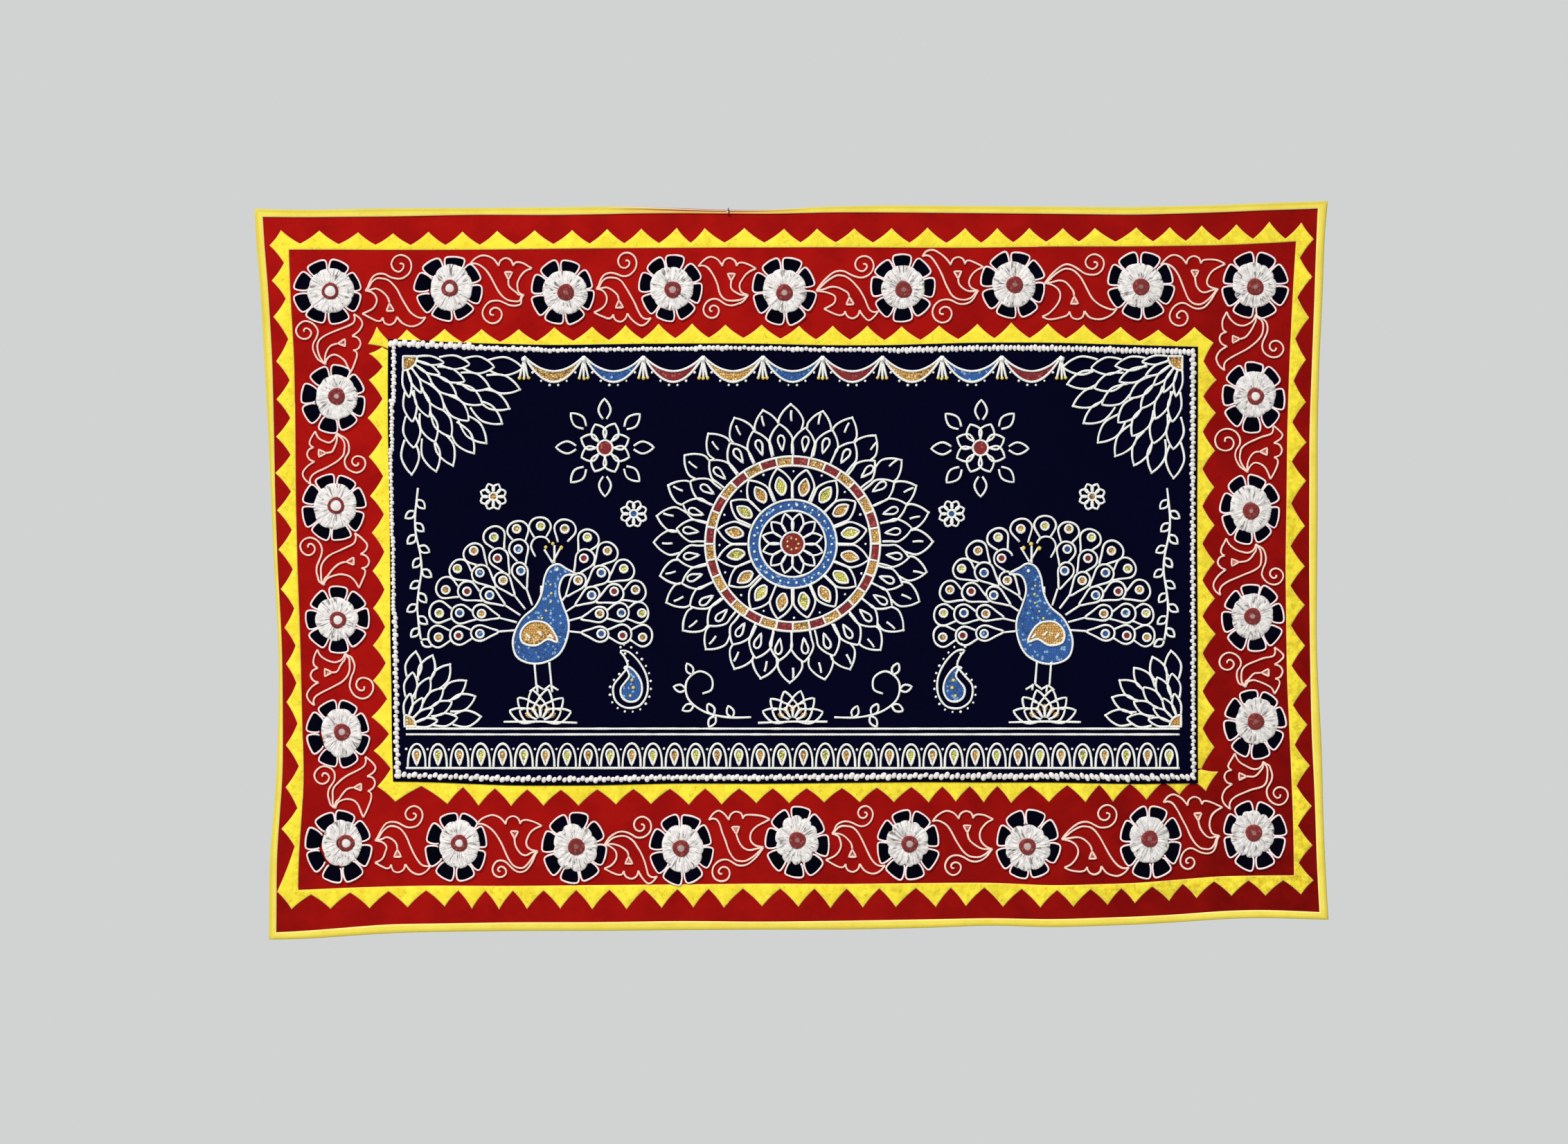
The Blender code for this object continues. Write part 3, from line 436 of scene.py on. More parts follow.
def loopArea(loop):  # above 0 when the loop runs anticlockwise as seen from the front
    x, z = loop[:, 0], loop[:, 1]
    return 0.5 * float(np.sum(x * np.roll(z, -1) - np.roll(x, -1) * z))


def cornersOf(loop, least):  # the places where a loop turns by more than least degrees
    before = loop - np.roll(loop, 1, axis=0)
    after = np.roll(loop, -1, axis=0) - loop
    turn = np.degrees(np.arctan2(before[:, 0] * after[:, 1] - before[:, 1] * after[:, 0],
                                 np.sum(before * after, axis=1)))
    return [int(i) for i in np.nonzero(np.abs(turn) > least)[0]]


def evenSteps(points, step, closed=False):  # the same line with its points step apart
    line = np.vstack([points, points[:1]]) if closed else np.asarray(points, float)
    along = np.concatenate([[0.0], np.cumsum(np.hypot(*np.diff(line, axis=0).T))])
    count = max(3 if closed else 1, round(along[-1] / step))
    at = np.linspace(0, along[-1], count + 1)
    at = at[:-1] if closed else at
    return np.column_stack([np.interp(at, along, line[:, 0]), np.interp(at, along, line[:, 1])])


def runsOf(loop, least=12.0):  # a loop cut at its corners, each run with both its ends
    corners = cornersOf(loop, least)
    runs = []
    for start, end in zip(corners, corners[1:] + [corners[0] + len(loop)]):
        runs.append(loop[np.arange(start, end + 1) % len(loop)])
    return runs


def softRun(run, step, longRun=150.0, passes=24):  # even steps; a long run loses its small kinks
    line = evenSteps(run, step)
    if np.hypot(*(run[-1] - run[0])) > longRun:
        for _ in range(passes):
            line[1:-1] = (line[:-2] + 2 * line[1:-1] + line[2:]) / 4
    return line


def smoothPath(points, closed=False, steps=9):  # a smooth curve through given points
    points = np.array(points, float)
    count = len(points)
    t = (np.arange(steps) / steps)[:, None]
    parts = []
    for i in range(count if closed else count - 1):
        if closed:
            a, b, c, d = (points[(i + k) % count] for k in (-1, 0, 1, 2))
        else:
            a, b, c, d = (points[min(max(i + k, 0), count - 1)] for k in (-1, 0, 1, 2))
        parts.append(0.5 * (2 * b + (c - a) * t + (2 * a - 5 * b + 4 * c - d) * t ** 2
                            + (3 * b - a - 3 * c + d) * t ** 3))
    if not closed:
        parts.append(points[-1:])
    return np.vstack(parts)


def roundCorners(points, radius, steps=4):  # a closed polygon with its corners rounded
    points = np.array(points, float)
    parts = []
    for i in range(len(points)):
        corner = points[i]
        arms = []
        for other in (points[i - 1], points[(i + 1) % len(points)]):
            arm = other - corner
            length = np.hypot(*arm)
            arms.append(corner + arm * min(radius / length, 0.45))
        t = np.linspace(0, 1, steps + 1)[:, None]
        parts.append((1 - t) ** 2 * arms[0] + 2 * t * (1 - t) * corner + t ** 2 * arms[1])
    return np.vstack(parts)


# Making pieces

def addFlats(mesh, flats):  # per-vertex numbers for its material, name to array
    for key, values in dict(flats).items():
        layer = mesh.attributes.new(key, "FLOAT", "POINT")
        layer.data.foreach_set("value", np.asarray(values, np.float32))


def addObject(name, data):
    thing = bpy.data.objects.new(name, data)
    bpy.context.scene.collection.objects.link(thing)
    return thing


def finishMesh(name, mesh, material, flats=()):
    addFlats(mesh, flats)
    mesh.materials.append(material)
    mesh.shade_smooth()
    return addObject(name, mesh)


def meshFrom(name, bm):  # a mesh with what the bmesh holds, which is then freed
    mesh = bpy.data.meshes.new(name)
    bm.to_mesh(mesh)
    bm.free()
    return mesh


def gridMesh(name, across, down):
    bm = bmesh.new()
    bmesh.ops.create_grid(bm, x_segments=across, y_segments=down, size=1.0)
    return meshFrom(name, bm)


def spinProfile(points, columns):  # (radius, y) points turned once about the y axis
    bm = bmesh.new()
    profile = [bm.verts.new((radius, y, 0.0)) for radius, y in points]
    edges = [bm.edges.new(pair) for pair in zip(profile, profile[1:])]
    bmesh.ops.spin(bm, geom=profile + edges, axis=(0.0, 1.0, 0.0), cent=(0.0, 0.0, 0.0),
                   angle=2 * math.pi, steps=columns, use_merge=True)
    bmesh.ops.remove_doubles(bm, verts=bm.verts[:], dist=0.01)
    bm.normal_update()
    return bm


def getVerts(mesh):
    co = np.empty(len(mesh.vertices) * 3, np.float32)
    mesh.vertices.foreach_get("co", co)
    return co.reshape(-1, 3).astype(float)


def setVerts(mesh, co):
    mesh.vertices.foreach_set("co", (co * mm).astype(np.float32).ravel())
    mesh.update()


def stand(piece, replaced=()):  # the piece rides on the panel in place of its solids
    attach(piece, "root")
    if replaced:
        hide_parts(*replaced)
    return piece


def thicken(piece, thick):  # cloth of this thickness behind the modelled front
    solid = piece.modifiers.new("thickness", "SOLIDIFY")
    solid.thickness = thick * mm
    solid.offset = -1.0
    solid.use_even_offset = False


# Flat cut cloth inside some outlines, with a turned edge, cut along a grid so that it can bend
def cutCloth(name, groups, material, high, thick, edge=1.6, cell=9.0, drop=0.5, puff=0.0):
    whole = bmesh.new()
    for loops in groups:
        bm = bmesh.new()
        rims = []
        for points in loops:
            verts = [bm.verts.new((x, 0.0, z)) for x, z in points]
            rims += [bm.edges.new((verts[i - 1], verts[i])) for i in range(len(verts))]
        bmesh.ops.triangle_fill(bm, use_beauty=True, edges=rims, normal=(0.0, -1.0, 0.0))
        bm.normal_update()
        bmesh.ops.reverse_faces(bm, faces=[face for face in bm.faces if face.normal.y > 0])
        hem = bm.verts.layers.float.new("hem")
        for vert in bm.verts:
            vert[hem] = 1.0
        bmesh.ops.inset_region(bm, faces=bm.faces[:], thickness=edge, use_even_offset=True,
                               use_boundary=True)
        inner = {vert for vert in bm.verts if not vert.is_boundary}
        for vert in inner:
            vert[hem] = 0.0
        part = meshFrom("part", bm)
        whole.from_mesh(part)
        bpy.data.meshes.remove(part)
    xs = [vert.co.x for vert in whole.verts]
    zs = [vert.co.z for vert in whole.verts]
    for axis, values in ((Vector((1, 0, 0)), xs), (Vector((0, 0, 1)), zs)):
        for place in np.arange(math.ceil(min(values) / cell) * cell, max(values), cell):
            bmesh.ops.bisect_plane(whole, geom=whole.verts[:] + whole.edges[:] + whole.faces[:],
                                   dist=0.02, plane_co=axis * float(place), plane_no=axis)
    bmesh.ops.remove_doubles(whole, verts=whole.verts[:], dist=0.01)
    hem = whole.verts.layers.float["hem"]
    hems = np.array([vert[hem] for vert in whole.verts])
    whole.verts.layers.float.remove(hem)
    mesh = meshFrom(name, whole)
    co = getVerts(mesh)
    lift = high(co[:, 0], co[:, 2]) if callable(high) else high
    co[:, 1] = hungY(co[:, 0], co[:, 2]) - lift + drop * hems - puff * (1 - hems)
    setVerts(mesh, co)
    piece = finishMesh(name, mesh, material, {"hem": hems})
    if thick:
        thicken(piece, thick)
    return piece


# Cords laid along strokes, each a line of (x, z) points and whether it is closed
def layCords(name, strokes, material, width, high, step=2.8, seed=1, flatten=0.42):
    wander = np.random.default_rng(seed)
    curve = bpy.data.curves.new(name, "CURVE")
    curve.dimensions = "3D"
    curve.bevel_depth = width / 2 * mm
    curve.bevel_resolution = 1
    curve.use_fill_caps = True
    quads = []
    lengths = []
    for points, closed in strokes:
        line = evenSteps(points, step, closed)
        count = len(line)
        lift = high(line[:, 0], line[:, 1]) if callable(high) else high
        y = hungY(line[:, 0], line[:, 1]) - lift - width * flatten
        spline = curve.splines.new("POLY")
        spline.points.add(count - 1)
        spline.use_cyclic_u = closed
        co = np.column_stack([line[:, 0] * mm, y * mm, line[:, 1] * mm, np.ones(count)])
        spline.points.foreach_set("co", co.astype(np.float32).ravel())
        knots = np.arange(0, count + 3, 3)  # it swells and thins a little every few points
        swell = np.interp(np.arange(count), knots, wander.normal(1.0, 0.07, len(knots)))
        spline.points.foreach_set("radius", swell.astype(np.float32))
        quads.append((count if closed else count - 1) * 6)
        lengths.append(count * step)
    holder = addObject(name + "Path", curve)
    bpy.context.view_layer.update()
    mesh = bpy.data.meshes.new_from_object(
        holder.evaluated_get(bpy.context.evaluated_depsgraph_get()))
    bpy.data.objects.remove(holder)
    # the curve's own UV runs 0 to 1 along each spline: stretch it to the length in mm
    sides = np.empty(len(mesh.polygons), np.int32)
    mesh.polygons.foreach_get("loop_total", sides)
    scale = np.ones(len(sides))
    scale[sides == 4] = np.repeat(lengths, quads)
    uv = np.empty(len(mesh.loops) * 2, np.float32)
    mesh.uv_layers[0].data.foreach_get("uv", uv)
    uv[0::2] *= np.repeat(scale, sides)
    mesh.uv_layers[0].data.foreach_set("uv", uv)
    bm = bmesh.new()
    bm.from_mesh(mesh)
    bmesh.ops.remove_doubles(bm, verts=bm.verts[:], dist=0.001 * mm)
    bmesh.ops.recalc_face_normals(bm, faces=bm.faces[:])
    bm.to_mesh(mesh)
    bm.free()
    mesh.materials.clear()
    mesh.name = name
    return finishMesh(name, mesh, material)


# The ground, the centre cloth and the binding

def fourSided(loop, step=6.0):  # top, right, bottom and left, from the left or from the top
    runs = [softRun(run, step) for run in runsOf(loop, 40)]
    middles = np.array([run.mean(axis=0) for run in runs])
    found = []
    for pick, axis in ((middles[:, 1].argmax(), 0), (middles[:, 0].argmax(), 1),
                       (middles[:, 1].argmin(), 0), (middles[:, 0].argmin(), 1)):
        run = runs[int(pick)]
        rising = run[0, axis] < run[-1, axis]
        found.append(run if rising == (axis == 0) else run[::-1])
    return found


def spread(side, share):  # points at shares 0 to 1 of the way along a side
    at = np.linspace(0, 1, len(side))
    return np.column_stack([np.interp(share, at, side[:, 0]), np.interp(share, at, side[:, 1])])


def clothGrid(name, loop, settings, material, high):  # one cloth that fills a four-sided outline
    top, right, bottom, left = fourSided(loop)
    wide = np.ptp(top[:, 0])
    tall = np.ptp(left[:, 1])
    mesh = gridMesh(name, round(wide / settings["cellMm"]), round(tall / settings["cellMm"]))
    co = getVerts(mesh)
    u = (co[:, 0] - co[:, 0].min()) / np.ptp(co[:, 0])
    v = (co[:, 1].max() - co[:, 1]) / np.ptp(co[:, 1])
    s, t = u[:, None], v[:, None]
    flat = ((1 - t) * spread(top, u) + t * spread(bottom, u)
            + (1 - s) * spread(left, v) + s * spread(right, v)
            - (1 - s) * (1 - t) * top[0] - s * (1 - t) * top[-1]
            - (1 - s) * t * bottom[0] - s * t * bottom[-1])
    inward = np.minimum(np.minimum(u, 1 - u) * wide, np.minimum(v, 1 - v) * tall)
    y = hungY(flat[:, 0], flat[:, 1]) - high(inward)
    setVerts(mesh, np.column_stack([flat[:, 0], y, flat[:, 1]]))
    piece = finishMesh(name, mesh, material)
    thicken(piece, settings["thickMm"])
    return piece


groundSettings = {"cellMm": 10.5, "thickMm": 0.9}
groundLoop = frontLoops("ground_cloth")[0]
ground = clothGrid("groundCloth", groundLoop, groundSettings, cotton["red"], lambda inward: 0.0)
stand(ground, ["ground_cloth"])
print("ground cloth made")

centreSettings = {"cellMm": 8.0, "thickMm": 0.8, "rimMm": 14.0, "slopeMm": 12.0, "rimHighMm": 2.6,
                  "lowHighMm": 1.25, "edgeDropMm": 0.5}
centreLoop = frontLoops("centre_cloth")[0]


def centreHigh(inward):  # its rim stands on the yellow border, the rest lies on the red
    down = np.clip((inward - centreSettings["rimMm"]) / centreSettings["slopeMm"], 0, 1)
    down = down * down * (3 - 2 * down)
    rim = centreSettings["rimHighMm"] - centreSettings["edgeDropMm"] * np.clip(1 - inward / 3, 0, 1)
    return rim + (centreSettings["lowHighMm"] - centreSettings["rimHighMm"]) * down


centre = clothGrid("centreCloth", centreLoop, centreSettings, cotton["navy"], centreHigh)
stand(centre, ["centre_cloth"])
centreTop, centreRight, centreBottom, centreLeft = fourSided(centreLoop)


def centreInward(x, z):  # how far inside the centre cloth's edge a place is
    fromTop = np.interp(x, centreTop[:, 0], centreTop[:, 1]) - z
    fromBottom = z - np.interp(x, centreBottom[:, 0], centreBottom[:, 1])
    fromLeft = x - np.interp(-z, -centreLeft[:, 1], centreLeft[:, 0])
    fromRight = np.interp(-z, -centreRight[:, 1], centreRight[:, 0]) - x
    return np.minimum(np.minimum(fromTop, fromBottom), np.minimum(fromLeft, fromRight))


def onCentre(x, z):  # the height of the centre cloth's front over the ground at a place
    return centreHigh(np.maximum(centreInward(x, z), 0))


print("centre cloth made")

# The binding: one strip folded over the edge. Each row is how far across from the inner edge to
# the fold (1), and the height over the ground's front; it goes out in front and back behind.
bindingProfile = [(0.02, 0.35), (0.0, 0.85), (0.05, 1.3), (0.16, 1.45), (0.42, 1.3), (0.7, 1.4),
                  (0.9, 1.3), (0.98, 0.8), (1.0, -0.2), (0.985, -1.3), (0.9, -2.1),
                  (0.6, -2.35), (0.2, -2.4), (0.03, -2.3)]
bindingSettings = {"stepMm": 7.0, "thickMm": 0.55, "frontRows": 8, "rolledX": (-260.0, 30.0),
                   "rolledEaseMm": 110.0, "rolledInMm": 1.3}
bindingInset = {"top": (1.3, 0.5), "right": (1.1, 1.2), "bottom": (0.5, 1.2), "left": (1.4, 0.3)}


# The binding's cotton: darker towards the fold, and rolled back at the nail, where its shaded
# side shows over the pale edge. Places are shares of the way across, from the sewn edge.
boundSettings = {"outerFrom": 0.45, "outerTo": 0.8, "outerShade": 0.6, "shadedAt": 0.66,
                 "shadedHalf": 0.1, "shadedReach": 0.24, "rolledShade": 0.85, "lipFrom": 0.8,
                 "lipTo": 0.95}


def boundCotton():
    s = boundSettings
    material = cotton["binding"].copy()
    material.name = "edgeBindingCotton"
    tree = material.node_tree
    shader = tree.nodes["Principled BSDF"]
    colour = shader.inputs["Base Color"].links[0].from_socket
    across = addNode(tree, "ShaderNodeAttribute", attribute_name="across")
    rolled = addNode(tree, "ShaderNodeAttribute", attribute_name="rolled")
    outer = addNode(tree, "ShaderNodeMapRange", {
        "Value": across.outputs["Fac"], "From Min": s["outerFrom"], "From Max": s["outerTo"],
        "To Max": s["outerShade"]}, interpolation_type="SMOOTHSTEP")
    shaded = addNode(tree, "ShaderNodeMath", {0: across.outputs["Fac"], 1: s["shadedAt"]},
                     operation="SUBTRACT")
    shaded = addNode(tree, "ShaderNodeMath", {0: shaded.outputs[0]}, operation="ABSOLUTE")
    shaded = addNode(tree, "ShaderNodeMapRange", {
        "Value": shaded.outputs[0], "From Min": s["shadedHalf"], "From Max": s["shadedReach"],
        "To Min": 1.0, "To Max": 0.0}, interpolation_type="SMOOTHSTEP")
    shaded = addNode(tree, "ShaderNodeMath", {
        0: shaded.outputs["Result"], 1: rolled.outputs["Fac"]}, operation="MULTIPLY")
    edge = addNode(tree, "ShaderNodeMath", {0: rolled.outputs["Fac"], 1: s["rolledShade"]},
                   operation="MULTIPLY")
    lip = addNode(tree, "ShaderNodeMapRange", {
        "Value": across.outputs["Fac"], "From Min": s["lipFrom"], "From Max": s["lipTo"]},
        interpolation_type="SMOOTHSTEP")
    lip = addNode(tree, "ShaderNodeMath", {0: lip.outputs["Result"], 1: rolled.outputs["Fac"]},
                  operation="MULTIPLY")
    for share, shade in ((outer.outputs["Result"], "#CDB93C"), (edge.outputs[0], "#F2B268"),
                         (shaded.outputs[0], "#7C4A12"), (lip.outputs[0], "#F6E6D0")):
        colour = addNode(tree, "ShaderNodeMix", {0: share, 6: colour, 7: hexColour(shade)},
                         data_type="RGBA").outputs[2]
    tree.links.new(colour, shader.inputs["Base Color"])
    return material


bindingMaterial = boundCotton()


def makeBinding():
    outer, leg = frontLoops("edge_binding", 0.8)[:2]
    outerSides, legSides = fourSided(outer), fourSided(leg)
    outerLine, legLine = [], []
    for index, (outSide, legSide) in enumerate(zip(outerSides, legSides)):
        count = round(np.hypot(*(outSide[-1] - outSide[0])) / bindingSettings["stepMm"])
        share = np.arange(count) / count if index < 2 else 1 - np.arange(count) / count
        outerLine.append(spread(outSide, share))
        legLine.append(spread(legSide, share))
    # drawn in from the fold, and in from its sewn edge, by bindingInset of each side
    insets = np.vstack([np.tile(bindingInset[side], (len(line), 1))
                        for side, line in zip(("top", "right", "bottom", "left"), outerLine)])
    for _ in range(6):
        insets = (np.roll(insets, 1, axis=0) + 2 * insets + np.roll(insets, -1, axis=0)) / 4
    outerLine, legLine = np.vstack(outerLine), np.vstack(legLine)
    start, end = bindingSettings["rolledX"]
    ends = np.minimum(outerLine[:, 0] - start, end - outerLine[:, 0])
    rolledLine = np.clip(ends / bindingSettings["rolledEaseMm"], 0, 1) * (outerLine[:, 1] > -60)
    insets = insets + rolledLine[:, None] * bindingSettings["rolledInMm"]
    inwards = legLine - outerLine
    inwards = inwards / np.hypot(inwards[:, 0], inwards[:, 1])[:, None]
    outerLine, legLine = outerLine + inwards * insets[:, :1], legLine - inwards * insets[:, 1:]
    around, across = len(outerLine), len(bindingProfile)
    mesh = gridMesh("edgeBinding", around, across - 1)
    co = getVerts(mesh)
    place = np.round((co[:, 0] - co[:, 0].min()) / np.ptp(co[:, 0]) * around).astype(int) % around
    row = np.round((co[:, 1] - co[:, 1].min()) / np.ptp(co[:, 1]) * (across - 1)).astype(int)
    share = np.array([step[0] for step in bindingProfile])[row]
    high = np.array([step[1] for step in bindingProfile])[row]
    flat = legLine[place] + (outerLine[place] - legLine[place]) * share[:, None]
    y = hungY(flat[:, 0], flat[:, 1]) - high
    setVerts(mesh, np.column_stack([flat[:, 0], y, flat[:, 1]]))
    inFront = row < bindingSettings["frontRows"]
    addFlats(mesh, {"hem": inFront * np.clip(1 - share * 6, 0, 1), "across": inFront * share,
                    "rolled": inFront * rolledLine[place]})
    bm = bmesh.new()
    bm.from_mesh(mesh)
    bmesh.ops.remove_doubles(bm, verts=bm.verts[:], dist=0.01 * mm)
    bm.normal_update()
    flattest = max(bm.faces,
                   key=lambda face: abs(face.normal.y) * (face.calc_center_median().y < 0))
    if flattest.normal.y > 0:
        bmesh.ops.reverse_faces(bm, faces=bm.faces[:])
    bm.to_mesh(mesh)
    bm.free()
    piece = finishMesh("edgeBinding", mesh, bindingMaterial)
    thicken(piece, bindingSettings["thickMm"])
    return piece


binding = makeBinding()
stand(binding, ["edge_binding"])
print("binding made")


# The yellow sawtooth borders

toothSettings = {"stepMm": 5.0, "longestSlopeMm": 75.0, "shortestSlopeMm": 12.0, "hollowMm": 1.1,
                 "highMm": 1.15, "thickMm": 0.55, "hemMm": 1.5}


def sewnOutline(loop):  # a cut outline: long lines soft, the slopes of its teeth a little hollow
    parts = []
    for run in runsOf(loop, 12):
        length = np.hypot(*(run[-1] - run[0]))
        line = softRun(run, toothSettings["stepMm"])
        if toothSettings["shortestSlopeMm"] < length < toothSettings["longestSlopeMm"]:
            t = np.linspace(0, 1, len(line))
            inwards = np.array([-(run[-1] - run[0])[1], (run[-1] - run[0])[0]]) / length
            line = line + np.outer(np.sin(t * math.pi) * toothSettings["hollowMm"], inwards)
        parts.append(line[:-1])
    return np.vstack(parts)


def makeSawtooth(name, nodeName):
    loops = frontLoops(nodeName)
    outlines = [sewnOutline(loops[0])] + [
        np.vstack([softRun(run, toothSettings["stepMm"])[:-1] for run in runsOf(loop, 12)])
        for loop in loops[1:]]
    piece = cutCloth(name, [outlines], cotton["yellow"], toothSettings["highMm"],
                     toothSettings["thickMm"], edge=toothSettings["hemMm"], cell=11.0, drop=0.55)
    stand(piece, [nodeName])
    return piece


makeSawtooth("outerSawtooth", "sawtooth_outer")
makeSawtooth("innerSawtoothUpper", "sawtooth_inner_upper")
makeSawtooth("innerSawtoothLower", "sawtooth_inner_lower")
print("sawtooth borders made")


# Flowers: where they are and how each is turned, read from their solids

def readFlowers():
    flowers = {}
    for nodeName in sorted(cadNodes):
        if not nodeName.startswith("rosette_"):
            continue
        name = nodeName[len("rosette_"):]
        low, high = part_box(nodeName)
        middle = np.array([(low.x + high.x) / 2, (low.z + high.z) / 2]) / mm
        outline = frontLoops("petals_" + name)[0]
        outline = outline[cornersOf(outline, 12)] - middle
        reach = np.hypot(*outline.T)
        tips = outline[reach > 0.85 * reach.max()]
        # a petal's outer corners lie so far off its middle line that eight times their angle
        # points away from it
        eight = np.exp(8j * np.arctan2(tips[:, 1], tips[:, 0])).mean()
        turn = np.angle(-eight) / 8
        flowers[name] = {"middle": middle, "turn": turn}
    return flowers


flowers = readFlowers()
petalCount = 8
petalSettings = {
    "rootMm": 24.5, "rootHalfMm": 8.6, "waistMm": 36.0, "waistHalfMm": 13.2, "outerMm": 43.8,
    "outerHalfMm": 13.4, "bulgeMm": 1.9, "marginMm": 1.35, "tipMarginMm": 0.4,
    "cornerMm": 5.4, "wanderMm": 0.9, "tiltDeg": 2.0, "usualMm": 92.0, "highMm": 1.1,
    "thickMm": 0.5, "cordMm": 2.7, "cordHighMm": 0.7,
}


# Eight round-cornered petals, no two alike: the cloth's outlines, and those of the cords on them.
# The cloth reaches past its cords, more so at the sides, where it all but meets the next petal.
def petalOutlines(flower, look, wander):
    cloths, cords = [], []
    size = np.array([look.wide, look.tall]) / petalSettings["usualMm"]
    for index in range(petalCount):
        angle = flower["turn"] + 2 * math.pi * index / petalCount
        angle += math.radians(wander.uniform(-1, 1) * petalSettings["tiltDeg"])
        out = np.array([math.cos(angle), math.sin(angle)])
        side = np.array([-out[1], out[0]])
        longer = wander.uniform(-1, 1) * petalSettings["wanderMm"] * 1.4
        wider = wander.uniform(-1, 1) * petalSettings["wanderMm"]
        skew = wander.uniform(-1, 1) * petalSettings["wanderMm"] * 1.5
        half = petalSettings["outerHalfMm"] + wider
        outer = petalSettings["outerMm"] + longer
        root, waist = out * petalSettings["rootMm"], out * petalSettings["waistMm"]
        tip = side * wander.uniform(-2, 2)
        corner = petalSettings["cornerMm"] * wander.uniform(0.75, 1.2)
        for found, margin, tipMargin in (
                (cords, 0.0, 0.0), (cloths, petalSettings["marginMm"], petalSettings["tipMarginMm"])):
            rootHalf = side * (petalSettings["rootHalfMm"] + margin)
            waistHalf = side * (petalSettings["waistHalfMm"] + margin)
            tipHalf = side * (half + tipMargin)
            reach = outer + tipMargin
            outline = roundCorners([
                root - rootHalf, waist - waistHalf, out * (reach - skew) - tipHalf,
                out * (reach + petalSettings["bulgeMm"]) + tip, out * (reach + skew) + tipHalf,
                waist + waistHalf, root + rootHalf], corner)
            found.append(outline * size + flower["middle"])
    return cloths, cords


# The gathered rosette: a disc of white cotton drawn up on a thread, so it is scalloped round its
# rim and pleated towards its button
rosetteSettings = {
    "rimMm": 31.4, "holeMm": 8.0, "columns": 112, "rings": 13, "baseMm": 1.7, "crestMm": 2.7,
    "rimHighMm": 0.2, "dipMm": 0.9, "pleatMm": 0.34, "creases": 9,
    "creaseMm": 0.5, "creaseWideMm": 1.1, "thickMm": 0.5,
}

